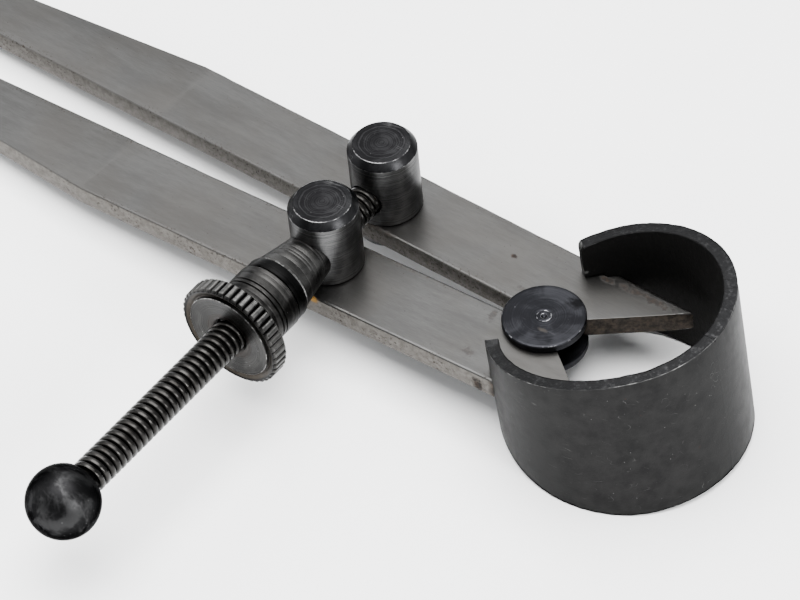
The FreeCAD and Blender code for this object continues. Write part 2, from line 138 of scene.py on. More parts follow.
def drawChain(points, closed=False):  # a wire through (x, y, z) points in mm
    startFresh()
    bpy.ops.mesh.primitive_plane_add(size=mm)
    obj = bpy.context.object
    bpy.ops.object.mode_set(mode="EDIT")
    bpy.ops.mesh.select_mode(type="VERT")
    bpy.ops.mesh.select_all(action="SELECT")
    bpy.ops.mesh.merge(type="CENTER")
    bpy.ops.transform.translate(value=Vector(points[0]) * mm)
    for before, after in zip(points, points[1:]):
        step = (Vector(after) - Vector(before)) * mm
        bpy.ops.mesh.extrude_region_move(TRANSFORM_OT_translate={"value": step})
    if closed:
        bpy.ops.mesh.select_all(action="SELECT")
        bpy.ops.mesh.edge_face_add()
        bpy.ops.mesh.delete(type="ONLY_FACE")
    return obj


def turnOutline(outline, steps):  # outline of (radius, height) pairs in mm, turned about Z
    obj = drawChain([(radius, 0, height) for radius, height in outline])
    bpy.ops.mesh.select_all(action="SELECT")
    bpy.ops.mesh.spin(steps=steps, angle=math.tau, center=(0, 0, 0), axis=(0, 0, 1))
    leaveEdit()
    tidyMesh(obj)
    return obj


def roundBar(radius, low, high, steps=64):  # a plain bar along Z, only ever used to cut
    startFresh()
    bpy.ops.mesh.primitive_cylinder_add(vertices=steps, radius=radius * mm, depth=(high - low) * mm,
                                        location=(0, 0, (low + high) / 2 * mm))
    applyPlace(bpy.context.object)
    return bpy.context.object


def blockOf(low, high):
    startFresh()
    size = Vector(high) - Vector(low)
    bpy.ops.mesh.primitive_cube_add(size=1, location=(Vector(high) + Vector(low)) / 2 * mm)
    bpy.context.object.scale = size * mm
    applyPlace(bpy.context.object)
    return bpy.context.object


spreadSteps = {"index": 12.9898, "seed": 78.233, "stretch": 43758.5453}


def chance(index, seed):  # the same even spread of numbers on every run
    value = math.sin(index * spreadSteps["index"] + seed * spreadSteps["seed"]) * spreadSteps["stretch"]
    return value - math.floor(value)


def waverWhere(obj, test, depth, grain, layers):  # a cloud pattern pushes in what passes the test
    group = obj.vertex_groups.new(name="waver")
    for v in obj.data.vertices:
        if test(v):
            group.add([v.index], 1.0, "REPLACE")
    cloud = bpy.data.textures.new("waverCloud", "CLOUDS")
    cloud.noise_scale = grain * mm
    cloud.noise_depth = layers
    applyModifier(obj, "DISPLACE", texture=cloud, strength=-depth * mm * 2, mid_level=0.0,
                  vertex_group="waver", texture_coords="LOCAL")
    obj.vertex_groups.clear()


def ringedFace(inner, outer, height, step, depth, seed):  # outline points of a faced, turned surface
    count = max(2, int((outer - inner) / step))
    points = []
    for index in range(count + 1):
        radius = inner + (outer - inner) * index / count
        dip = depth * chance(index, seed) if 0 < index < count else 0
        points.append((radius, height - dip))
    return points


def finishPiece(obj, name, body, replaced, material, smooth):
    applyPlace(obj)
    tidyMesh(obj)
    makeActive(obj)
    bpy.ops.object.shade_smooth_by_angle(angle=math.radians(smooth))
    obj.name = name
    obj.data.name = name
    obj.data.materials.clear()
    obj.data.materials.append(material)
    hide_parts(replaced)
    if body:
        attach(obj, body)
    print("made", name, len(obj.data.polygons), "faces")


# tools for materials

def addNode(tree, kind, wires=(), **settings):
    made = tree.nodes.new("ShaderNode" + kind)
    for key, value in settings.items():
        setattr(made, key, value)
    for key, value in (wires.items() if isinstance(wires, dict) else enumerate(wires)):
        if isinstance(value, bpy.types.NodeSocket):
            tree.links.new(value, made.inputs[key])
        elif value is not None:
            made.inputs[key].default_value = value
    return made


def calc(tree, operation, *values):
    return addNode(tree, "Math", values, operation=operation).outputs[0]


def times(tree, first, *others):
    for other in others:
        first = calc(tree, "MULTIPLY", first, other)
    return first


def vector(tree, operation, *values):
    made = addNode(tree, "VectorMath", values, operation=operation)
    return made.outputs["Value" if operation in ("DOT_PRODUCT", "LENGTH", "DISTANCE") else "Vector"]


def enlarged(tree, value, amount):
    return addNode(tree, "VectorMath", {0: value, "Scale": amount}, operation="SCALE").outputs["Vector"]


def scaled(tree, position, amounts, turn=(0, 0, 0)):
    wires = {"Vector": position, "Scale": amounts, "Rotation": turn}
    return addNode(tree, "Mapping", wires).outputs["Vector"]


def noise(tree, position, scale, detail=3.0, roughness=0.55, distortion=0.0):
    wires = {"Vector": position, "Scale": scale, "Detail": detail, "Roughness": roughness,
             "Distortion": distortion}
    return addNode(tree, "TexNoise", wires).outputs["Fac"]


def between(tree, value, low, high, outLow=0.0, outHigh=1.0):
    wires = {0: value, 1: low, 2: high, 3: outLow, 4: outHigh}
    return addNode(tree, "MapRange", wires, interpolation_type="SMOOTHSTEP").outputs["Result"]


def mixColour(tree, amount, first, second):
    made = addNode(tree, "Mix", {0: amount, 6: first, 7: second}, data_type="RGBA")
    return made.outputs[2]


def mixValue(tree, amount, first, second):
    made = addNode(tree, "Mix", {0: amount, 2: first, 3: second}, data_type="FLOAT")
    return made.outputs[0]


def newGroup(name, inputs, outputs):  # sockets as (name, kind, value)
    tree = bpy.data.node_groups.new(name, "ShaderNodeTree")
    for socketName, kind, value in inputs:
        socket = tree.interface.new_socket(name=socketName, in_out="INPUT", socket_type="NodeSocket" + kind)
        socket.default_value = value
    for socketName, kind in outputs:
        tree.interface.new_socket(name=socketName, in_out="OUTPUT", socket_type="NodeSocket" + kind)
    return tree, tree.nodes.new("NodeGroupInput").outputs, tree.nodes.new("NodeGroupOutput").inputs


def useGroup(tree, group, **wires):
    made = tree.nodes.new("ShaderNodeGroup")
    made.node_tree = group
    for key, value in wires.items():
        socket = made.inputs[key]
        if isinstance(value, bpy.types.NodeSocket):
            tree.links.new(value, socket)
        else:
            socket.default_value = value
    return made.outputs


def latheGroup():  # radius, place along the axis and fine tool lines of a turned piece, all in mm
    tree, given, made = newGroup("toolLines", [
        ("Position", "Vector", (0, 0, 0)), ("Centre", "Vector", (0, 0, 0)), ("Axis", "Vector", (0, 0, 1)),
        ("Spacing", "Float", 0.2), ("Chatter", "Float", 0.05)],
        [("Radius", "Float"), ("Along", "Float"), ("Lines", "Float"), ("Local", "Vector")])
    local = enlarged(tree, vector(tree, "SUBTRACT", given["Position"], given["Centre"]), 1 / mm)
    along = vector(tree, "DOT_PRODUCT", local, given["Axis"])
    radius = vector(tree, "LENGTH", vector(tree, "SUBTRACT", local, enlarged(tree, given["Axis"], along)))
    wander = times(tree, noise(tree, local, 0.9, 2.0), given["Chatter"])
    place = calc(tree, "ADD", calc(tree, "ADD", radius, along), wander)
    place = calc(tree, "DIVIDE", place, given["Spacing"])
    lines = addNode(tree, "TexNoise", {"W": place, "Scale": 1.0, "Detail": 2.0, "Roughness": 0.6},
                    noise_dimensions="1D").outputs["Fac"]
    for key, socket in (("Radius", radius), ("Along", along), ("Lines", lines), ("Local", local)):
        tree.links.new(socket, made[key])
    return tree


def rimWearGroup():  # bare metal on a turned edge at one radius and height
    tree, given, made = newGroup("rimWear", [
        ("Local", "Vector", (0, 0, 0)), ("Radius", "Float", 0), ("Along", "Float", 0),
        ("Rim Radius", "Float", 1), ("Rim Along", "Float", 0), ("Width", "Float", 0.1),
        ("Gaps", "Float", 0.5)], [("Mask", "Float")])
    across = calc(tree, "SUBTRACT", given["Radius"], given["Rim Radius"])
    up = calc(tree, "SUBTRACT", given["Along"], given["Rim Along"])
    away = calc(tree, "SQRT", calc(tree, "ADD", times(tree, across, across), times(tree, up, up)))
    ragged = between(tree, noise(tree, given["Local"], 2.6, 4.0), 0.3, 0.7, 0.35, 1.5)
    near = calc(tree, "DIVIDE", away, times(tree, given["Width"], ragged))
    line = between(tree, near, 0.35, 1.0, 1.0, 0.0)
    gaps = between(tree, noise(tree, given["Local"], 0.9, 3.0), given["Gaps"],
                   calc(tree, "ADD", given["Gaps"], 0.15))
    tree.links.new(times(tree, line, gaps), made["Mask"])
    return tree


def handlingGroup():  # scratches, tiny flecks and greasy smudges from use
    tree, given, made = newGroup("handlingMarks", [
        ("Local", "Vector", (0, 0, 0)), ("Scratch Share", "Float", 0.5), ("Fleck Share", "Float", 0.5)],
        [("Scratches", "Float"), ("Flecks", "Float"), ("Smudge", "Float")])
    local = given["Local"]
    scratches = None
    for turn, seed in (((0.4, 0.9, 0.5), 3.0), ((1.3, 0.2, 2.0), 11.0), ((0.1, 2.2, 1.2), 23.0)):
        shifted = vector(tree, "ADD", scaled(tree, local, (0.025, 0.6, 0.6), turn), (seed, seed, seed))
        thin = calc(tree, "ABSOLUTE", calc(tree, "SUBTRACT", noise(tree, shifted, 1.0, 1.0, 0.4), 0.5))
        line = between(tree, thin, 0.0, 0.005, 1.0, 0.0)
        least = calc(tree, "SUBTRACT", 0.75, times(tree, given["Scratch Share"], 0.4))
        zones = noise(tree, vector(tree, "ADD", local, (seed, 0, seed)), 0.45, 2.0)
        part = times(tree, line, between(tree, zones, least, 0.8))
        scratches = part if scratches is None else calc(tree, "MAXIMUM", scratches, part)
    cells = addNode(tree, "TexVoronoi", {"Vector": local, "Scale": 1.7}, feature="F1")
    spread = addNode(tree, "SeparateColor", [cells.outputs["Color"]]).outputs
    reach = calc(tree, "ADD", 0.04, times(tree, spread["Green"], 0.10))
    dot = between(tree, calc(tree, "DIVIDE", cells.outputs["Distance"], reach), 0.7, 1.0, 1.0, 0.0)
    chosen = calc(tree, "LESS_THAN", spread["Red"], times(tree, given["Fleck Share"], 0.5))
    smudge = between(tree, noise(tree, local, 0.22, 4.0, 0.6, 0.6), 0.35, 0.7)
    tree.links.new(scratches, made["Scratches"])
    tree.links.new(times(tree, dot, chosen), made["Flecks"])
    tree.links.new(smudge, made["Smudge"])
    return tree


def grainGroup():  # the lengthwise lines that a grinder leaves on a flat leg
    tree, given, made = newGroup("grindGrain", [
        ("Local", "Vector", (0, 0, 0)), ("Turn", "Vector", (0, 0, 0)), ("Fineness", "Float", 14.0)],
        [("Height", "Float"), ("Tone", "Float"), ("Pits", "Float")])
    turned = scaled(tree, given["Local"], (1, 1, 1), given["Turn"])
    fine = noise(tree, scaled(tree, turned, (0.05, 1.0, 1.0)), given["Fineness"], 2.0, 0.6)
    coarse = noise(tree, scaled(tree, turned, (0.02, 0.7, 0.7)), 1.6, 3.0, 0.6)
    height = mixValue(tree, 0.35, fine, coarse)
    cloudy = noise(tree, scaled(tree, turned, (0.08, 0.35, 0.35)), 1.0, 4.0, 0.65)
    tone = mixValue(tree, 0.5, cloudy, height)
    pits = between(tree, noise(tree, given["Local"], 4.2, 2.0, 0.5), 0.69, 0.76)
    patch = between(tree, noise(tree, given["Local"], 0.25, 3.0), 0.5, 0.62)
    for key, socket in (("Height", height), ("Tone", tone), ("Pits", times(tree, pits, patch))):
        tree.links.new(socket, made[key])
    return tree


def stainGroup():  # a ragged blotch about one place, for rust and grease
    tree, given, made = newGroup("stain", [
        ("Local", "Vector", (0, 0, 0)), ("Middle", "Vector", (0, 0, 0)), ("Spread", "Vector", (1, 1, 1)),
        ("Ragged", "Float", 1.0)], [("Mask", "Float")])
    offset = vector(tree, "SUBTRACT", given["Local"], given["Middle"])
    near = vector(tree, "LENGTH", vector(tree, "DIVIDE", offset, given["Spread"]))
    rough = calc(tree, "SUBTRACT", noise(tree, given["Local"], 1.1, 5.0, 0.7), 0.5)
    away = calc(tree, "ADD", near, times(tree, rough, given["Ragged"], 3.0))
    tree.links.new(between(tree, away, 0.35, 1.05, 1.0, 0.0), made["Mask"])
    return tree


toolLines, rimWear, handlingMarks = latheGroup(), rimWearGroup(), handlingGroup()
grindGrain, stain = grainGroup(), stainGroup()
print("made the shared surface effects")


def newMaterial(name, metallic=1.0, edge=1.0):  # edge: how strongly the steel mirrors at a shallow angle
    material = bpy.data.materials.new(name)
    material.use_nodes = True
    tree = material.node_tree
    shader = tree.nodes["Principled BSDF"]
    shader.inputs["Metallic"].default_value = metallic
    shader.inputs["Specular Tint"].default_value = (edge, edge, edge, 1)
    shader.inputs["Specular IOR Level"].default_value = 0.12  # only rust, grease and the floor show this
    position = tree.nodes.new("ShaderNodeTexCoord").outputs["Object"]
    return material, tree, shader, position


def connect(tree, shader, colour, roughness, height, depth, strength, metallic=None):
    tree.links.new(colour, shader.inputs["Base Color"])
    tree.links.new(roughness, shader.inputs["Roughness"])
    if metallic:
        tree.links.new(metallic, shader.inputs["Metallic"])
    bump = addNode(tree, "Bump", {"Height": height, "Strength": strength, "Distance": depth * mm})
    tree.links.new(bump.outputs["Normal"], shader.inputs["Normal"])


def localSpot(tree, position, centre):  # mm from a piece's own centre
    return enlarged(tree, vector(tree, "SUBTRACT", position, tuple(centre)), 1 / mm)


def wearMarks(tree, local, finish):
    shares = {"Scratch Share": finish["scratches"], "Fleck Share": finish["flecks"]}
    return useGroup(tree, handlingMarks, Local=local, **shares)


def sideMask(tree, low=0.35, high=0.8):  # 1 on upright faces, 0 on level ones
    level = addNode(tree, "SeparateXYZ", [addNode(tree, "NewGeometry").outputs["Normal"]]).outputs["Z"]
    return between(tree, calc(tree, "ABSOLUTE", level), low, high, 1.0, 0.0)


def within(tree, value, low, high):  # 1 from low to high, 0 past them
    soft = 0.05
    rise = between(tree, value, low - soft, low + soft)
    return times(tree, rise, between(tree, value, high - soft, high + soft, 1.0, 0.0))


legFinish = {
    "steel": (0.075, 0.0745, 0.073, 1), "steelDark": (0.049, 0.0485, 0.0475, 1),
    "haze": (0.055, 0.050, 0.044, 1), "hazeShare": 0.3,
    "side": (0.135, 0.127, 0.116, 1), "sideDark": (0.070, 0.063, 0.055, 1), "sideShare": 0.85,
    "cut": (0.050, 0.038, 0.028, 1), "grease": (0.20, 0.105, 0.02, 1),
    "rust": (0.017, 0.0085, 0.0042, 1), "rustDark": (0.005, 0.0035, 0.0028, 1),
    "scratches": 0.25, "flecks": 0.16, "fleckRust": 0.75, "pitRust": 0.85, "pitDepth": 1.2,
    "sideRelief": 2.5, "roughness": 0.34, "sideRoughness": 0.62, "rustRoughness": 0.75, "rustDull": 0.8,
    "depth": 0.012, "relief": 0.6, "innerPits": 1.5, "outerPits": 1.3,
}


def edgePitMask(tree, local, swing):  # pits in patches along both long edges of a leg
    across = addNode(tree, "SeparateXYZ", [scaled(tree, local, (1, 1, 1), (0, 0, swing))]).outputs["Y"]
    across = calc(tree, "ABSOLUTE", across)
    inner, outer = legSizes["inner"], legSizes["outer"]
    besideInner = between(tree, across, inner, inner + legFinish["innerPits"], 1.0, 0.0)
    besideOuter = between(tree, across, outer - legFinish["outerPits"], outer)
    pits = between(tree, noise(tree, local, 2.8, 3.0, 0.6), 0.56, 0.64)
    patches = between(tree, noise(tree, local, 0.16, 2.0), 0.40, 0.55)
    return times(tree, pits, calc(tree, "MAXIMUM", besideInner, besideOuter), patches)


def legSteel(name, swing, stainsAndPaintedLight, greaseSpots):
    f = legFinish
    material, tree, shader, position = newMaterial(name)
    local = localSpot(tree, position, fulcrum)
    grain = useGroup(tree, grindGrain, Local=local, Turn=(0, 0, swing))
    marks = wearMarks(tree, local, f)
    colour = mixColour(tree, between(tree, grain["Tone"], 0.36, 0.66), f["steelDark"], f["steel"])
    cloud = between(tree, noise(tree, local, 0.09, 3.0), 0.35, 0.65)
    colour = mixColour(tree, times(tree, cloud, f["hazeShare"]), colour, f["haze"])
    upright = sideMask(tree)
    sideTone = between(tree, noise(tree, local, 1.3, 5.0, 0.7), 0.3, 0.7)
    sideColour = mixColour(tree, sideTone, f["sideDark"], f["side"])
    cutColour = mixColour(tree, sideTone, f["rustDark"], f["cut"])  # the diagonal ends, past the fulcrum
    along = addNode(tree, "SeparateXYZ", [local]).outputs["X"]
    sideColour = mixColour(tree, between(tree, along, -0.5, 0.5), sideColour, cutColour)
    colour = mixColour(tree, times(tree, upright, f["sideShare"]), colour, sideColour)
    rust = times(tree, marks["Flecks"], f["fleckRust"])
    # rust stains, and on the nut's leg one painted reflection of its pillar among them
    for middle, spread, amount, ragged in stainsAndPaintedLight:
        patch = useGroup(tree, stain, Local=local, Middle=middle, Spread=spread, Ragged=ragged)["Mask"]
        rust = calc(tree, "MAXIMUM", rust, times(tree, patch, amount))
    pits = calc(tree, "MAXIMUM", grain["Pits"], edgePitMask(tree, local, swing))
    rust = calc(tree, "MAXIMUM", rust, times(tree, pits, f["pitRust"]))
    rustTone = between(tree, noise(tree, local, 2.2, 4.0), 0.4, 0.6)
    colour = mixColour(tree, rust, colour, mixColour(tree, rustTone, f["rustDark"], f["rust"]))
    for middle, spread in greaseSpots:
        patch = useGroup(tree, stain, Local=local, Middle=middle, Spread=spread, Ragged=0.6)["Mask"]
        colour = mixColour(tree, patch, colour, f["grease"])
        rust = calc(tree, "MAXIMUM", rust, patch)
    polish = between(tree, grain["Tone"], 0.3, 0.7)
    roughness = mixValue(tree, polish, f["roughness"] + 0.07, f["roughness"] - 0.05)
    roughness = mixValue(tree, upright, roughness, f["sideRoughness"])
    roughness = mixValue(tree, rust, roughness, f["rustRoughness"])
    height = mixValue(tree, 0.5, grain["Height"], calc(tree, "SUBTRACT", 1.0, marks["Scratches"]))
    height = calc(tree, "SUBTRACT", height, times(tree, pits, f["pitDepth"]))
    height = calc(tree, "ADD", height, times(tree, sideTone, upright, f["sideRelief"]))
    metallic = calc(tree, "SUBTRACT", 1.0, times(tree, rust, f["rustDull"]))
    connect(tree, shader, colour, roughness, height, f["depth"], f["relief"], metallic)
    return material


turnedLook = {  # what a turned piece has unless its own look says otherwise
    "edge": 0.8, "chatter": 0.06, "orangePeel": 0.3, "smudges": 0.45, "smear": 0.1,
    "scratches": 0.3, "scratchShine": 0.35, "flecks": 0.15, "fleckShine": 0.6, "bands": (), "patches": (),
}


def turnedSteel(name, centre, axis, ownLook, rims=()):  # a rim: radius, place along the axis, width, gaps
    look = {**turnedLook, **ownLook}
    material, tree, shader, position = newMaterial(name, edge=look["edge"])
    tool = useGroup(tree, toolLines, Position=position, Centre=tuple(centre), Axis=axis,
                    Spacing=look["spacing"], Chatter=look["chatter"])
    local = tool["Local"]
    marks = wearMarks(tree, local, look)
    shade = between(tree, mixValue(tree, look["smudges"], tool["Lines"], marks["Smudge"]), 0.3, 0.7)
    colour = mixColour(tree, shade, look["dark"], look["light"])
    # where a look has side colours, upright faces get them: painted light on the sides
    if "sideDark" in look:
        sideColour = mixColour(tree, shade, look["sideDark"], look["paintedSideLight"])
        colour = mixColour(tree, sideMask(tree, 0.25, 0.5), colour, sideColour)
    bare = times(tree, marks["Scratches"], look["scratchShine"])
    bare = calc(tree, "MAXIMUM", bare, times(tree, marks["Flecks"], look["fleckShine"]))
    for rimRadius, rimAlong, width, gaps in rims:
        line = useGroup(tree, rimWear, Local=local, Radius=tool["Radius"], Along=tool["Along"],
                        **{"Rim Radius": rimRadius, "Rim Along": rimAlong, "Width": width, "Gaps": gaps})
        bare = calc(tree, "MAXIMUM", bare, line["Mask"])
    colour = mixColour(tree, bare, colour, look["bare"])
    for low, high, start, end, tint, amount in look["bands"]:  # two radii, then two places along the axis
        ragged = between(tree, noise(tree, local, 1.2, 4.0), 0.3, 0.6, 0.4, 1.0)
        ring = times(tree, within(tree, tool["Radius"], low, high), within(tree, tool["Along"], start, end))
        colour = mixColour(tree, times(tree, ring, ragged, amount), colour, tint)
    for middle, spread, tint, amount in look["patches"]:
        patch = useGroup(tree, stain, Local=local, Middle=middle, Spread=spread, Ragged=0.7)["Mask"]
        colour = mixColour(tree, times(tree, patch, amount), colour, tint)
    roughness = mixValue(tree, tool["Lines"], look["roughness"] - 0.06, look["roughness"] + 0.08)
    roughness = mixValue(tree, marks["Smudge"], roughness, look["roughness"] + look["smear"])
    height = calc(tree, "SUBTRACT", tool["Lines"], times(tree, marks["Scratches"], 0.6))
    height = calc(tree, "ADD", height, times(tree, noise(tree, local, 5.0, 3.0), look["orangePeel"]))
    connect(tree, shader, colour, roughness, height, look["depth"], 1.0)
    return material


springFinish = {
    "outer": (0.0095, 0.0095, 0.0096, 1), "outerLight": (0.0165, 0.0164, 0.0163, 1),
    "inner": (0.013, 0.0127, 0.0124, 1), "rim": (0.014, 0.014, 0.0145, 1),
    "rimLight": (0.055, 0.055, 0.056, 1), "bare": (0.20, 0.20, 0.195, 1), "red": (0.045, 0.016, 0.011, 1),
    "insideFrom": 15.2, "edge": 0.65, "spacing": 1.1, "chatter": 0.8, "scratches": 0.4, "flecks": 0.3,
    "innerRoughness": 0.6, "depth": 0.03, "relief": 0.8, "coarseness": 3.0,
    "stainsAndPaintedLight": (  # middle in mm, spread, share and tone: an end's corner, then the far end's foot on its leg, where bare-steel colour paints glints
        ((-12.2, -9.7, 6.6), (1.6, 2.6, 1.5), 0.5, "rimLight"),
        # painted glints: bright bare-steel colour where the far end meets its leg
        ((-12.6, 9.4, 1.75), (1.8, 1.2, 0.35), 0.9, "bare"),
    ),
}


def springSteel(centre, axis):
    f = springFinish
    material, tree, shader, position = newMaterial("springSteel", edge=f["edge"])
    tool = useGroup(tree, toolLines, Position=position, Centre=tuple(centre), Axis=axis,
                    Spacing=f["spacing"], Chatter=f["chatter"])
    local = tool["Local"]
    marks = wearMarks(tree, local, f)
    mottle = noise(tree, local, 0.45, 6.0, 0.62)
    speck = noise(tree, local, 5.5, 2.0, 0.6)
    colour = mixColour(tree, between(tree, mottle, 0.25, 0.75), f["outer"], f["outerLight"])
    colour = mixColour(tree, between(tree, speck, 0.70, 0.78, 0.0, 0.5), colour, f["rimLight"])
    bare = calc(tree, "MAXIMUM", times(tree, marks["Scratches"], 0.35), times(tree, marks["Flecks"], 0.5))
    colour = mixColour(tree, bare, colour, f["bare"])
    shifted = vector(tree, "ADD", local, (7, 3, 1))  # away from the other patterns
    redMask = between(tree, noise(tree, shifted, 0.8, 5.0, 0.75), 0.68, 0.75, 0.0, 0.7)
    colour = mixColour(tree, redMask, colour, f["red"])
    inside = between(tree, tool["Radius"], f["insideFrom"], f["insideFrom"] + 0.25, 1.0, 0.0)
    innerTone = mixColour(tree, between(tree, speck, 0.6, 0.75, 0.0, 0.5), f["inner"], f["rim"])
    colour = mixColour(tree, inside, colour, innerTone)
    level = vector(tree, "DOT_PRODUCT", addNode(tree, "NewGeometry").outputs["Normal"], axis)
    level = calc(tree, "ABSOLUTE", level)
    rim = between(tree, level, 0.55, 0.85)
    rimTone = between(tree, noise(tree, local, 1.5, 5.0, 0.7), 0.5, 0.8)
    colour = mixColour(tree, rim, colour, mixColour(tree, rimTone, f["rim"], f["rimLight"]))
    corner = times(tree, between(tree, level, 0.2, 0.45), between(tree, level, 0.7, 0.9, 1.0, 0.0))
    rubbed = between(tree, noise(tree, local, 0.35, 4.0, 0.7), 0.46, 0.62, 0.1, 0.85)
    worn = times(tree, corner, calc(tree, "SUBTRACT", 1.0, inside), rubbed)
    colour = mixColour(tree, worn, colour, f["bare"])
    # stains, and painted glints at the far end's foot
    for middle, spread, amount, tone in f["stainsAndPaintedLight"]:
        patch = useGroup(tree, stain, Local=local, Middle=middle, Spread=spread, Ragged=0.8)["Mask"]
        colour = mixColour(tree, times(tree, patch, amount), colour, f[tone])
    roughness = mixValue(tree, between(tree, mottle, 0.3, 0.7), 0.40, 0.48)
    roughness = mixValue(tree, inside, roughness, f["innerRoughness"])
    height = calc(tree, "ADD", mottle, times(tree, speck, 0.35))
    height = calc(tree, "SUBTRACT", height, times(tree, marks["Scratches"], 0.5))
    brushed = noise(tree, scaled(tree, local, (1.0, 1.0, 0.35)), 2.2, 4.0, 0.7)
    coarse = times(tree, brushed, calc(tree, "MAXIMUM", inside, rim), f["coarseness"])
    connect(tree, shader, colour, roughness, calc(tree, "ADD", height, coarse), f["depth"], f["relief"])
    return material


print("made the material builders")


# legs

legSizes = {
    "thick": 3.0, "reach": 170.0, "inner": 0.9, "outer": 12.2, "taperStart": 67.0, "pointStart": 157.0,
    "pointWidth": 1.9, "thinStart": 140.0, "tip": 0.4, "endAngle": 38.7, "swing": 1.49,
    "edge": 0.4, "longEdge": 40.0, "fineEdge": 0.07, "wornTip": 0.6, "wornFrom": 1.2,
    "coreHole": 3.55, "shankHole": 2.56, "pillarReach": 30.87, "pillarAngle": 10.5,
    "notchFloor": 11.0, "notchFrom": -0.79, "notchTo": 2.28, "notchLean": 2.2,
    "waver": 0.05, "waverGrain": 1.6, "waverBand": 0.32,
    "crossLines": 76, "crossFrom": 14.0, "crossStep": 1.6,
}


def bisectLeg(spot, normal):
    bpy.ops.mesh.select_all(action="SELECT")
    bpy.ops.mesh.bisect(plane_co=Vector(spot) * mm, plane_no=Vector(normal).normalized(), use_fill=True,
                        clear_outer=True, threshold=mergeGap)


def shapeLeg(side):  # the tapered blank with its diagonal end and its worn edges
    s = legSizes
    half = s["thick"] / 2
    pointOuter = s["inner"] + s["pointWidth"]
    widest = s["outer"] / math.tan(math.radians(s["endAngle"]))
    low, high = sorted((side * s["inner"], side * s["outer"]))
    leg = blockOf((-s["reach"], low, -half), (widest, high, half))
    enterEdit(leg)
    taperRun, taperDrop = s["pointStart"] - s["taperStart"], s["outer"] - pointOuter
    bisectLeg((-s["taperStart"], side * s["outer"], 0), (-taperDrop, side * taperRun, 0))
    pointRun, pointDrop = s["reach"] + 1 - s["pointStart"], s["pointWidth"] - s["tip"]
    bisectLeg((-s["pointStart"], side * pointOuter, 0), (-pointDrop, side * pointRun, 0))
    lean = math.radians(s["endAngle"])
    bisectLeg((0, 0, 0), (math.sin(lean), -side * math.cos(lean), 0))
    thinRun, thinDrop = s["reach"] + 1 - s["thinStart"], half - s["tip"] / 2
    for face in (1, -1):
        bisectLeg((-s["thinStart"], 0, face * half), (-thinDrop, 0, face * thinRun))
    selectWhere(leg, "EDGE", lambda e: abs(e.verts[0].co.x - e.verts[1].co.x) > s["longEdge"] * mm)
    bpy.ops.mesh.bevel(offset=s["edge"] * mm, segments=3, profile=0.6)
    selectWhere(leg, "EDGE", lambda e: all(v.co.x > (widest - s["wornFrom"]) * mm for v in e.verts))
    bpy.ops.mesh.bevel(offset=s["wornTip"] * mm, segments=3, profile=0.5, clamp_overlap=True)
    leaveEdit()
    return leg


def cutLeg(leg, side, swing):  # the fulcrum hole, the pillar's hole and the notch for the bow
    s = legSizes
    past = s["thick"] / 2 + 1
    turn = math.radians(s["pillarAngle"])
    pillarHole = (-s["pillarReach"] * math.cos(turn), side * s["pillarReach"] * math.sin(turn))
    for radius, (x, y) in ((s["coreHole"], (0, 0)), (s["shankHole"], pillarHole)):
        hole = roundBar(radius, -past, past)
        hole.location = (x * mm, y * mm, 0)
        cutAway(leg, hole)
    low, high = sorted((side * s["notchFloor"], side * (s["outer"] + 0.6)))
    notch = blockOf((s["notchFrom"], low, -past), (s["notchTo"], high, past))
    enterEdit(notch)
    selectWhere(notch, "VERT", lambda v: abs(v.co.y) > (s["outer"] + 0.3) * mm)
    bpy.ops.transform.translate(value=(s["notchLean"] * mm, 0, 0))
    leaveEdit()
    notch.rotation_euler.z = -swing
    cutAway(leg, notch)
    roundEdges(leg, s["fineEdge"], 2, 45)


def waverLeg(leg):  # the slight waver of hand dressed edges, between cross lines
    s = legSizes
    enterEdit(leg)
    for index in range(s["crossLines"]):
        bpy.ops.mesh.select_all(action="SELECT")
        place = (s["crossFrom"] - index * s["crossStep"]) * mm
        bpy.ops.mesh.bisect(plane_co=(place, 0, 0), plane_no=(1, 0, 0), threshold=mergeGap)
    leaveEdit()

    def onEdge(v):
        beside = min(abs(abs(v.co.y) - s["inner"] * mm), abs(abs(v.co.y) - s["outer"] * mm))
        return beside < s["waverBand"] * mm and v.co.x > -s["taperStart"] * mm

    waverWhere(leg, onEdge, s["waver"], s["waverGrain"], 2)


def makeLeg(name, side, swing, material, body):
    leg = shapeLeg(side)
    cutLeg(leg, side, swing)
    waverLeg(leg)
    leg.rotation_euler.z = swing
    leg.location = fulcrum
    finishPiece(leg, name.replace("_leg", "SideLeg"), body, name, material, 12)


legStainsAndPaintedReflection = {  # middle in mm from the fulcrum, spread, share and raggedness
    "anchor": [
        ((-10.2, 7.4, 1.5), (0.7, 0.45, 0.8), 0.9, 0.5), ((2.6, 10.6, 1.5), (1.4, 0.6, 1.2), 0.8, 0.7),
        ((9.0, 10.8, 1.5), (6.5, 0.7, 0.8), 0.75, 1.5), ((-5.5, 3.2, 1.5), (1.6, 0.7, 1.2), 0.35, 1.2),
        ((-29.0, 1.6, 1.6), (4.5, 0.8, 1.0), 0.6, 1.1), ((-60.0, 1.4, 1.6), (12.0, 0.6, 0.9), 0.7, 1.4),
    ],
    "nut": [
        ((-6.4, -2.6, 1.5), (0.8, 1.6, 1.2), 0.45, 1.0), ((-5.6, -9.6, 1.5), (1.2, 0.8, 1.2), 0.4, 1.2),
        ((-2.0, -12.2, -0.4), (1.2, 0.8, 1.4), 0.95, 0.8), ((-25.0, -1.6, 1.6), (4.0, 0.6, 0.9), 0.5, 1.4),
        # the next stain, at the nut pillar's foot, is painted reflection of the black pillar in the leg, in
        # dark rust colour
        ((-31.5, -10.9, 1.6), (3.0, 1.2, 1.0), 0.35, 1.0),
    ],
}
greaseSpots = [((-28.0, -12.9, 1.2), (0.9, 0.5, 0.7))]  # middle and spread, on the nut's leg

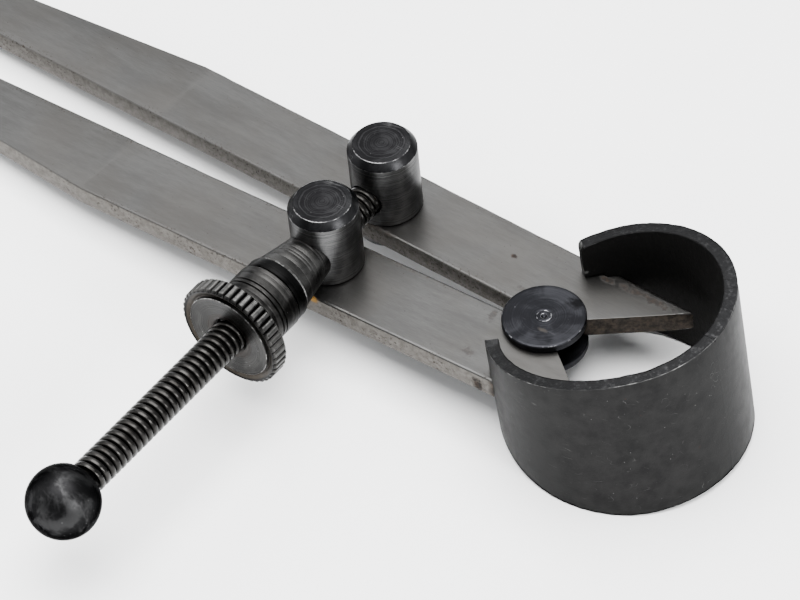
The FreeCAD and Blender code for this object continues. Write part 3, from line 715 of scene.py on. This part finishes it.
swing = math.radians(legSizes["swing"])
anchorSteel = legSteel("groundSteelFar", swing, legStainsAndPaintedReflection["anchor"], [])
nutSteel = legSteel("groundSteelNear", -swing, legStainsAndPaintedReflection["nut"], greaseSpots)
makeLeg("anchor_leg", 1, -swing, anchorSteel, "anchor_side")
makeLeg("nut_leg", -1, swing, nutSteel, "nut_side")


# fulcrum roller

rollerSizes = {"core": 3.5, "flange": 5.55, "flangeIn": 1.56, "flangeOut": 2.66, "pip": 0.42, "ring": 0.95}
rollerLook = {
    "dark": (0.0085, 0.0087, 0.0100, 1), "light": (0.020, 0.0203, 0.0230, 1), "bare": (0.20, 0.20, 0.21, 1),
    "spacing": 0.16, "depth": 0.012, "roughness": 0.36, "flecks": 0.35, "scratches": 0.3,
    "fleckShine": 0.5, "orangePeel": 0.15, "edge": 0.6,
    "patches": (((2.3, 4.1, rollerSizes["flangeOut"]), (1.7, 1.1, 0.6), (0.0035, 0.0035, 0.0038, 1), 0.9),
                ((1.3, -2.1, rollerSizes["flangeOut"]), (1.0, 0.35, 0.4), (0.05, 0.045, 0.04, 1), 0.5)),
}


def makeRoller():
    s = rollerSizes
    top = s["flangeOut"]
    upper = [(0, top - 0.34), (s["pip"] * 0.45, top - 0.26), (s["pip"], top - 0.03), (s["pip"] + 0.08, top),
             (s["ring"] - 0.12, top), (s["ring"], top - 0.05), (s["ring"] + 0.14, top - 0.01)]
    upper += ringedFace(s["ring"] + 0.2, s["flange"] - 0.3, top, 0.17, 0.022, 2)
    upper += [(s["flange"] - 0.1, top - 0.05), (s["flange"], top - 0.17),
              (s["flange"], s["flangeIn"] + 0.1), (s["flange"] - 0.1, s["flangeIn"]),
              (s["core"], s["flangeIn"])]
    lower = [(radius, -height) for radius, height in reversed(upper)]
    roller = turnOutline(upper + lower, 128)
    roller.location = fulcrum
    rims = [(s["ring"], top, 0.10, 0.42), (s["pip"], top, 0.07, 0.40),
            (s["flange"] - 0.08, top - 0.08, 0.09, 0.55)]
    steel = turnedSteel("blueBlackSteel", fulcrum, (0, 0, 1), rollerLook, rims)
    finishPiece(roller, "fulcrumRoller", "roller", "fulcrum_roller", steel, 25)


makeRoller()


# bow spring

bowSizes = {
    "outer": 16.45, "thick": 1.8, "centre": 11.7, "hook": 1.0, "tilt": -5.0, "half": 11.72, "drop": 4.52,
    "narrowFrom": 0.8, "narrowOver": 1.6, "uprightOver": 8.0,
    "endTurn": 2.47, "endRound": 1.3, "corner": 0.22,
    "slotHalf": 1.9, "slotFloor": 11.05, "slotBack": 9.0, "slotFront": 4.5, "slotInner": 4.0,
    "stations": 190, "rows": 11, "waver": 0.10, "waverGrain": 0.9, "waverBand": 0.4, "bendFrom": 1.5,
}


def halfHeight(turn):  # the strip narrows towards its ends
    s = bowSizes
    past = max(0.0, abs(turn) - s["narrowFrom"]) / s["narrowOver"]
    return s["half"] - s["drop"] * past ** 1.5


def riseOf(edge):
    return abs(edge.verts[0].co.z - edge.verts[1].co.z)


def bendStrip():  # a section spun about the loop's centre, then narrowed station by station
    s = bowSizes
    startFresh()
    bpy.ops.mesh.primitive_plane_add(size=1)
    bow = bpy.context.object
    bow.scale = (s["thick"] * mm, 2 * s["half"] * mm, 1)
    bow.rotation_euler = (math.pi / 2, 0, 0)
    applyPlace(bow)
    bow.location = ((s["outer"] - s["thick"] / 2) * mm, 0, 0)
    applyPlace(bow)
    bow.rotation_euler.z = s["endTurn"]  # the spin runs clockwise from here
    applyPlace(bow)
    enterEdit(bow)
    bpy.ops.mesh.select_all(action="SELECT")
    bpy.ops.mesh.spin(steps=s["stations"], angle=2 * s["endTurn"], center=(0, 0, 0), axis=(0, 0, 1))
    for index in range(s["stations"] + 1):
        turn = -s["endTurn"] + 2 * s["endTurn"] * index / s["stations"]
        along = Vector((math.cos(turn), math.sin(turn), 0))
        squeeze = halfHeight(turn) / s["half"]
        if squeeze < 0.9995:
            selectWhere(bow, "VERT", lambda v: abs(v.co.x * along.y - v.co.y * along.x) < 0.03 * mm
                        and v.co.dot(along) > 0)
            bpy.ops.transform.resize(value=(1, 1, squeeze), center_override=(0, 0, 0))
    bpy.ops.mesh.select_all(action="SELECT")
    bpy.ops.mesh.remove_doubles(threshold=mergeGap)
    bpy.ops.mesh.fill_holes(sides=4)
    bpy.ops.mesh.normals_make_consistent(inside=False)
    atEnd = math.cos(s["endTurn"] - 0.004)
    selectWhere(bow, "EDGE", lambda e: riseOf(e) < 0.01 * mm
                and max(v.co.x / v.co.xy.length for v in e.verts) < atEnd)
    bpy.ops.mesh.bevel(offset=s["endRound"] * mm, segments=5)
    selectWhere(bow, "EDGE", lambda e: riseOf(e) > s["uprightOver"] * mm)
    bpy.ops.mesh.subdivide(number_cuts=s["rows"])
    leaveEdit()
    return bow


def finishHalf(half, steel):  # closed where it was parted, and named after the leg on its side
    enterEdit(half)
    selectOpenEdges()
    bpy.ops.mesh.edge_face_add()
    leaveEdit()
    low = min(v.co.y for v in half.data.vertices)
    side, other = ("anchor_side", "nut_side") if low > -1 * mm else ("nut_side", "anchor_side")
    name = "bowSpringAnchorHalf" if side == "anchor_side" else "bowSpringNutHalf"
    finishPiece(half, name, None, "bow_spring", steel, 40)
    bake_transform(half)


def makeBow():
    s = bowSizes
    centre = s["centre"] - s["hook"]
    bow = bendStrip()
    for side in (-1, 1):
        low, high = sorted((side * s["slotInner"], side * s["slotFloor"]))
        cutAway(bow, blockOf((-s["slotBack"] - centre, low, -s["slotHalf"]),
                             (s["slotFront"] - centre, high, s["slotHalf"])))
    roundEdges(bow, s["corner"], 3, 50)

    def onRim(v):
        return halfHeight(math.atan2(v.co.y, v.co.x)) * mm - abs(v.co.z) < s["waverBand"] * mm

    waverWhere(bow, onRim, s["waver"], s["waverGrain"], 3)
    bow.location.x = centre * mm
    applyPlace(bow)
    tilt = math.radians(s["tilt"])
    bow.rotation_euler.y = tilt
    bow.location = fulcrum + Vector((s["hook"] * mm, 0, 0))
    axis = (math.sin(tilt), 0, math.cos(tilt))
    loopCentre = bow.location + Vector((math.cos(tilt), 0, -math.sin(tilt))) * centre * mm
    applyPlace(bow)
    steel = springSteel(loopCentre, axis)
    enterEdit(bow)  # two halves that meet at the back, one for each end
    selectWhere(bow, "FACE", lambda f: middleOf(f).y < 0)
    bpy.ops.mesh.separate(type="SELECTED")
    leaveEdit()
    for half in list(bpy.context.selected_objects):
        finishHalf(half, steel)


makeBow()


# pillars

pillarSizes = {
    "radius": 4.7, "top": 12.75, "crownHigh": 1.05, "crownWide": 0.82, "foot": 1.56, "footBreak": 0.25,
    "shank": 2.5, "washerLow": 2.46, "axis": 5.75, "anchorBore": 2.4, "nutBore": 2.63, "boreEnd": 8.0,
    "blindEnd": 3.2, "fineEdge": 0.07,
    "rivet": ((3.3, 0), (3.3, 0.15), (2.95, 0.5), (2.4, 0.72), (1.2, 0.8), (0, 0.8)),  # radius, drop
}
pillarLook = {
    "dark": (0.007, 0.007, 0.0075, 1), "light": (0.021, 0.021, 0.022, 1), "bare": (0.15, 0.15, 0.15, 1),
    # the two side colours are lighter copies of the same black steel: painted light on the pillars' upright
    # faces
    "sideDark": (0.045, 0.045, 0.0455, 1), "paintedSideLight": (0.095, 0.095, 0.0945, 1), "edge": 0.6,
    "spacing": 0.22, "depth": 0.012, "roughness": 0.30, "flecks": 0.4, "scratches": 0.55,
    "scratchShine": 0.3, "fleckShine": 0.45, "orangePeel": 0.5, "chatter": 0.5, "smudges": 0.3,
}


def makePillar(name, spot, bore, boreFrom, body, seed):
    s = pillarSizes
    flat = s["radius"] - s["crownWide"]
    crownFoot = s["top"] - s["crownHigh"]
    outline = [(0, s["top"] - 0.02)] + ringedFace(0.3, flat, s["top"], 0.2, 0.02, seed)
    outline += [(s["radius"], crownFoot), (s["radius"], s["foot"] + s["footBreak"]),
                (s["radius"] - s["footBreak"], s["foot"]), (s["shank"], s["foot"]),
                (s["shank"], -s["washerLow"])]
    outline += [(radius, -s["washerLow"] - drop) for radius, drop in s["rivet"]]
    pillar = turnOutline(outline, 128)
    roundEdges(pillar, s["fineEdge"], 2, 30)
    cutter = roundBar(bore, -boreFrom, s["boreEnd"])
    cutter.rotation_euler = alongScrew
    cutter.location = (0, 0, s["axis"] * mm)
    cutAway(pillar, cutter)
    pillar.location = spot
    rims = [(flat, s["top"], 0.09, 0.40), (s["radius"], crownFoot, 0.07, 0.50),
            (s["radius"] - 0.1, s["foot"] + 0.1, 0.16, 0.48)]
    materialName = "blackedSteel" + name.split("_")[0].capitalize()
    steel = turnedSteel(materialName, spot, (0, 0, 1), pillarLook, rims)
    finishPiece(pillar, name.replace("_pillar", "Pillar"), body, name, steel, 28)
    return steel


anchorBlack = makePillar("anchor_pillar", anchorSpot, pillarSizes["anchorBore"], pillarSizes["blindEnd"],
                         "screw", 5)
nutBlack = makePillar("nut_pillar", nutPillarSpot, pillarSizes["nutBore"], pillarSizes["boreEnd"],
                      "slider", 9)
for washer, steel in (("anchor_washer", anchorBlack), ("nut_washer", nutBlack)):
    for slot in frame["nodes"][washer].material_slots:
        slot.material = steel


# adjusting screw and ball

screwSizes = {
    "radius": 2.38, "root": 2.08, "pitch": 1.058, "steps": 30,
    "top": 9.51, "plainTo": 2.2, "threadTo": 56.6, "end": 60.93,
    "crestHalf": 0.24, "shoulderHalf": 0.35, "baseHalf": 0.49, "shoulderDrop": 0.07, "sunk": 0.12,
}
threadFinish = {
    # the darker root colour is painted shade in the thread's grooves
    "root": (0.006, 0.0055, 0.005, 1), "crest": (0.027, 0.0262, 0.025, 1), "rust": (0.06, 0.035, 0.02, 1),
    "spacing": 0.3, "chatter": 0.5, "scratches": 0.3, "flecks": 0.5, "depth": 0.02, "relief": 0.7,
}


def makeRod():
    s = screwSizes
    return turnOutline([(0, -s["top"]), (s["radius"] - 0.3, -s["top"]), (s["radius"], -s["top"] + 0.3),
                        (s["radius"], -s["plainTo"] - 0.35), (s["root"], -s["plainTo"] + 0.25),
                        (s["root"], s["threadTo"]), (s["radius"], s["threadTo"] + 0.4),
                        (s["radius"], s["end"] - 0.4), (s["radius"] - 0.4, s["end"]), (0, s["end"])], 48)


def makeRidge():  # one tooth's outline, wound into a helix and closed at both ends
    s = screwSizes
    lower = [(s["root"] - s["sunk"], -s["baseHalf"]), (s["root"] + 0.02, -s["baseHalf"]),
             (s["radius"] - s["shoulderDrop"], -s["shoulderHalf"]), (s["radius"], -s["crestHalf"])]
    upper = [(radius, -along) for radius, along in reversed(lower)]
    ridge = drawChain([(radius, 0, along) for radius, along in lower + upper], closed=True)
    leaveEdit()
    turns = int((s["threadTo"] + s["plainTo"]) / s["pitch"])
    applyModifier(ridge, "SCREW", axis="Z", angle=math.tau, steps=s["steps"], render_steps=s["steps"],
                  iterations=turns, screw_offset=s["pitch"] * mm, use_merge_vertices=False)
    enterEdit(ridge)
    selectOpenEdges()
    bpy.ops.mesh.fill()
    bpy.ops.mesh.select_all(action="SELECT")
    bpy.ops.mesh.normals_make_consistent(inside=False)
    leaveEdit()
    ridge.location.z = (-s["plainTo"] + s["baseHalf"]) * mm
    applyPlace(ridge)
    return ridge


def threadSteel():
    f = threadFinish
    radius = screwSizes["radius"]
    material, tree, shader, position = newMaterial("threadSteel")
    tool = useGroup(tree, toolLines, Position=position, Centre=tuple(screwSpot), Axis=screwAxis,
                    Spacing=f["spacing"], Chatter=f["chatter"])
    local = tool["Local"]
    marks = wearMarks(tree, local, f)
    # painted shade: all but the crests keeps the dark root colour
    crest = between(tree, tool["Radius"], radius - 0.14, radius - 0.01)
    patchy = between(tree, noise(tree, local, 0.7, 4.0), 0.3, 0.65, 0.25, 1.0)
    colour = mixColour(tree, times(tree, crest, patchy), f["root"], f["crest"])
    colour = mixColour(tree, times(tree, marks["Flecks"], 0.5), colour, f["rust"])
    roughness = mixValue(tree, marks["Smudge"], 0.26, 0.40)
    connect(tree, shader, colour, roughness, noise(tree, local, 4.0, 3.0), f["depth"], f["relief"])
    return material


def makeScrew():
    rod = makeRod()
    ridge = makeRidge()
    makeActive(rod)
    ridge.select_set(True)
    bpy.ops.object.join()
    rod.rotation_euler = alongScrew
    rod.location = screwSpot
    finishPiece(rod, "adjustingScrew", "screw", "adjusting_screw", threadSteel(), 40)


makeScrew()

ballSizes = {
    "radius": 4.87, "face": 3.4, "bore": 2.4, "middle": 60.6, "depth": 5.2,
    "arcSteps": 30, "flatTurn": 0.10,
}
ballLook = {
    "dark": (0.008, 0.008, 0.0083, 1), "light": (0.025, 0.025, 0.0255, 1), "bare": (0.15, 0.15, 0.15, 1),
    "spacing": 0.5, "depth": 0.012, "roughness": 0.36, "flecks": 0.6, "scratches": 0.5, "smudges": 0.6,
    "scratchShine": 0.2, "fleckShine": 0.5, "orangePeel": 0.9, "chatter": 2.0, "edge": 0.35,
    "bands": ((2.2, 3.3, -6.0, -2.8, (0.030, 0.018, 0.011, 1), 0.6),),
}


def makeBall():
    s = ballSizes
    faceTurn = math.asin(s["face"] / s["radius"])
    faceAt = -math.sqrt(s["radius"] ** 2 - s["face"] ** 2)
    boreFloor = s["depth"] - s["radius"] - 0.1
    outline = [(0, boreFloor), (s["bore"], boreFloor), (s["bore"], faceAt), (s["face"] - 0.15, faceAt)]
    for index in range(s["arcSteps"]):
        turn = faceTurn + (math.pi - faceTurn) * index / s["arcSteps"]
        at = -math.cos(turn)
        if turn > math.pi - s["flatTurn"] - 0.02:  # a small flat left at the ball's end
            at = math.cos(s["flatTurn"])
        outline.append((s["radius"] * math.sin(turn), s["radius"] * at))
    outline.append((0, s["radius"] * math.cos(s["flatTurn"])))
    ball = turnOutline(outline, 96)
    ball.rotation_euler = alongScrew
    ball.location = screwSpot + Vector((0, -s["middle"] * mm, 0))
    steel = turnedSteel("blackedBallSteel", ball.location.copy(), screwAxis, ballLook,
                        [(s["face"] - 0.05, faceAt + 0.05, 0.14, 0.5)])
    finishPiece(ball, "ballEnd", "screw", "ball_end", steel, 30)


makeBall()


# thrust sleeve and thrust washer

sleeveSizes = {
    "bore": 2.63, "near": 8.29, "far": 16.6, "small": 3.0, "large": 4.5, "cope": 4.75, "copeHalf": 15.0,
    "groove": 0.01, "rings": (0.30, 0.36, 0.52, 0.60, 0.66, 0.80),  # shares of the length
}
sleeveLook = {
    "dark": (0.013, 0.0128, 0.0124, 1), "light": (0.043, 0.0423, 0.041, 1), "bare": (0.18, 0.18, 0.176, 1),
    "spacing": 0.11, "depth": 0.02, "roughness": 0.34, "chatter": 0.15, "flecks": 0.3, "scratches": 0.3,
}


def makeSleeve():
    s = sleeveSizes
    length = s["far"] - s["near"]
    outline = [(s["bore"], s["near"]), (s["small"], s["near"])]
    for share in s["rings"]:  # shallow tool rings along the cone
        radius = s["small"] + (s["large"] - s["small"]) * share
        at = s["near"] + length * share
        outline += [(radius, at), (radius - s["groove"], at + 0.05), (radius + 0.02, at + 0.11)]
    outline += [(s["large"], s["far"] - 0.25), (s["large"] - 0.2, s["far"]), (s["bore"], s["far"]),
                (s["bore"], s["near"])]
    sleeve = turnOutline(outline, 128)
    cutter = roundBar(s["cope"], -s["copeHalf"], s["copeHalf"], 128)  # so that it sits on the nut's pillar
    sleeve.rotation_euler = alongScrew
    sleeve.location = screwSpot
    applyPlace(sleeve)
    cutter.location = nutPillarSpot
    cutAway(sleeve, cutter)
    steel = turnedSteel("turnedSleeveSteel", screwSpot, screwAxis, sleeveLook,
                        [(s["large"] - 0.08, s["far"] - 0.1, 0.16, 0.4)])
    finishPiece(sleeve, "thrustSleeve", "slider", "thrust_sleeve", steel, 28)


makeSleeve()

thrustWasherSizes = {"bore": 2.63, "radius": 4.8, "near": 16.63, "far": 18.48}
thrustWasherLook = {
    "dark": (0.0015, 0.0015, 0.0015, 1), "light": (0.004, 0.004, 0.004, 1), "bare": (0.16, 0.16, 0.16, 1),
    "spacing": 0.25, "depth": 0.01, "roughness": 0.34, "flecks": 0.7, "scratches": 0.2, "fleckShine": 0.7,
}


def makeThrustWasher():
    s = thrustWasherSizes
    rim, near, far = s["radius"], s["near"], s["far"]
    outline = [(s["bore"], near), (rim - 0.35, near), (rim - 0.08, near + 0.12), (rim, near + 0.42),
               (rim - 0.03, near + 0.95), (rim, far - 0.4), (rim - 0.09, far - 0.12), (rim - 0.35, far),
               (s["bore"], far), (s["bore"], near)]
    washer = turnOutline(outline, 96)
    washer.rotation_euler = alongScrew
    washer.location = screwSpot
    steel = turnedSteel("oiledBlackSteel", screwSpot, screwAxis, thrustWasherLook)
    finishPiece(washer, "thrustWasher", "slider", "thrust_washer", steel, 30)


makeThrustWasher()


# knurled nut

nutSizes = {
    "bore": 2.43, "hub": 4.94, "hubLong": 6.2, "groove": 0.25, "knurl": 7.68, "wide": 2.6, "teeth": 44,
    "deep": 0.5, "disc": 6.25, "step": 0.45, "dish": 0.3, "stepsPerTooth": 6,
}
hubGrooves = (  # share of the hub's length, and depth
    (0.10, 0.02), (0.22, 0.03), (0.42, nutSizes["groove"]), (0.53, nutSizes["groove"]), (0.66, 0.03),
    (0.76, 0.02), (0.88, 0.03),
)
nutFront = nutSizes["wide"] / 2
nutLook = {
    "dark": (0.009, 0.0088, 0.0085, 1), "light": (0.030, 0.0293, 0.0283, 1),
    "bare": (0.20, 0.198, 0.194, 1),
    "spacing": 0.17, "depth": 0.02, "roughness": 0.33, "flecks": 0.3, "scratches": 0.35, "chatter": 0.2,
    "bands": ((2.4, 3.6, nutFront - 0.9, nutFront + 1, (0.010, 0.007, 0.0055, 1), 0.8),
              (6.35, 7.1, nutFront - 0.9, nutFront + 1, (0.034, 0.028, 0.022, 1), 0.7),
              # painted shade: the knurl's gap floors coloured dark
              (7.0, 7.42, -nutFront, nutFront, (0.007, 0.007, 0.007, 1), 0.9),
              # painted highlight: the teeth's flat tops coloured lighter
              (7.62, 8.5, -nutFront, nutFront, (0.13, 0.129, 0.126, 1), 0.5)),
}


def nutOutline(hubEnd, back, front):
    s = nutSizes
    hub, knurl, disc, bore = s["hub"], s["knurl"], s["disc"], s["bore"]
    outline = [(bore, hubEnd), (hub - 0.25, hubEnd), (hub, hubEnd + 0.25)]
    for share, deep in hubGrooves:
        at = hubEnd + s["hubLong"] * share
        outline += [(hub, at), (hub - deep, at + 0.1), (hub - deep, at + 0.16), (hub, at + 0.26)]
    outline += [(hub, back - 0.15), (hub + 0.15, back), (knurl - 0.35, back), (knurl, back + 0.32),
                (knurl, front - 0.32), (knurl - 0.42, front - 0.03)]
    outline += [(disc + 0.42, front - s["step"] * 0.75), (disc + 0.22, front - s["step"]),
                (disc + 0.02, front - s["step"]), (disc, front - 0.06), (disc - 0.07, front)]
    for radius, height in reversed(ringedFace(bore + 0.5, disc - 0.2, 0, 0.24, 0.03, 7)):
        sink = s["dish"] * (1 - (radius - bore) / (disc - bore))
        outline.append((radius, front + height - sink))
    return outline + [(bore + 0.3, front - s["dish"]), (bore, front - s["dish"] - 0.25), (bore, hubEnd)]


def cutKnurl(nut):
    s = nutSizes
    pitch = math.tau / s["teeth"]

    def fromGap(v):  # 0 at the middle of a gap, 0.5 at the middle of a tooth
        phase = (math.atan2(v.co.y, v.co.x) / pitch) % 1.0
        return min(phase, 1 - phase)

    enterEdit(nut)
    for low, high, depth in ((-0.1, 0.08, s["deep"]), (0.08, 0.25, s["deep"] * 0.2)):
        selectWhere(nut, "VERT", lambda v: math.hypot(v.co.x, v.co.y) > (s["knurl"] - 0.1) * mm
                    and low < fromGap(v) < high)
        shrink = (s["knurl"] - depth) / s["knurl"]
        bpy.ops.transform.resize(value=(shrink, shrink, 1), center_override=(0, 0, 0))
    leaveEdit()


def makeNut():
    s = nutSizes
    hubEnd = -nutFront - s["hubLong"]
    nut = turnOutline(nutOutline(hubEnd, -nutFront, nutFront), s["teeth"] * s["stepsPerTooth"])
    cutKnurl(nut)
    nut.rotation_euler = alongScrew
    nut.location = jointSpots["nut_turn"]
    rims = [(s["disc"] - 0.02, nutFront - 0.02, 0.08, 0.42), (s["hub"] - 0.1, hubEnd + 0.1, 0.10, 0.48)]
    steel = turnedSteel("turnedNutSteel", nut.location.copy(), screwAxis, nutLook, rims)
    finishPiece(nut, "knurledNut", "nut", "knurled_nut", steel, 24)


makeNut()


# floor, light and camera

floorLook = {
    "spot": (-0.005, 0, -0.0004), "lean": 2.94, "size": 6.0, "colour": (0.93, 0.93, 0.93, 1),
    "shade": (0.91, 0.91, 0.91, 1),
}


def makeFloor():
    f = floorLook
    startFresh()
    bpy.ops.mesh.primitive_plane_add(size=f["size"], location=f["spot"])
    floor = bpy.context.object
    floor.rotation_euler.y = math.radians(f["lean"])  # so that the points and the bow's lower edge touch it
    applyPlace(floor)
    floor.name = "studioFloor"
    material, tree, shader, position = newMaterial("paleFloor", 0.0)
    faint = between(tree, noise(tree, position, 40.0, 3.0), 0.3, 0.7)
    connect(tree, shader, mixColour(tree, faint, f["shade"], f["colour"]), mixValue(tree, faint, 0.8, 0.9),
            faint, 0.01, 0.2)
    floor.data.materials.append(material)


makeFloor()

lightPanels = {  # place from the fulcrum and size in metres, power in watts
    "overhead": ((0.0, 0.0, 1.2), (1.2, 1.2), 62), "backPanel": ((-0.6, 0.7, 0.9), (1.2, 0.7), 6),
    "leftPanel": ((-0.9, -0.5, 0.5), (0.7, 0.9), 7), "rightPanel": ((0.9, -0.13, 0.47), (0.26, 0.34), 13),
}
worldLook = {"colour": (0.96, 0.98, 1.0, 1), "strength": 0.9}


def addPanel(name, spot, size, power):
    light = bpy.data.lights.new(name, "AREA")
    light.shape = "RECTANGLE"
    light.size, light.size_y = size
    light.energy = power
    panel = bpy.data.objects.new(name, light)
    bpy.context.scene.collection.objects.link(panel)
    place = fulcrum + Vector(spot)
    panel.location = place
    panel.rotation_euler = (fulcrum - place).to_track_quat("-Z", "Y").to_euler()


for name, (spot, size, power) in lightPanels.items():
    addPanel(name, spot, size, power)
world = bpy.data.worlds.new("studio")
bpy.context.scene.world = world
world.use_nodes = True
sky = world.node_tree.nodes["Background"].inputs
sky["Color"].default_value = worldLook["colour"]
sky["Strength"].default_value = worldLook["strength"]

cameraPlace = {  # spot in metres from the fulcrum, lens in mm
    "spot": (0.2492, -0.3099, 0.4265), "forward": (-0.4559, 0.5165, -0.7248),
    "up": (-0.3945, 0.6127, 0.6848), "lens": 202.5, "sensor": 36,
}
cameraData = bpy.data.cameras.new("studioCamera")
camera = bpy.data.objects.new("studioCamera", cameraData)
bpy.context.scene.collection.objects.link(camera)
forward = Vector(cameraPlace["forward"]).normalized()
right = forward.cross(Vector(cameraPlace["up"])).normalized()
upward = right.cross(forward)
turn = Matrix((right, upward, -forward)).transposed().to_4x4()
camera.matrix_world = Matrix.Translation(fulcrum + Vector(cameraPlace["spot"])) @ turn
cameraData.lens = cameraPlace["lens"]
cameraData.sensor_width = cameraPlace["sensor"]
cameraData.clip_start, cameraData.clip_end = 0.02, 20
bpy.context.scene.camera = camera
print("set the floor, the lights and the camera")
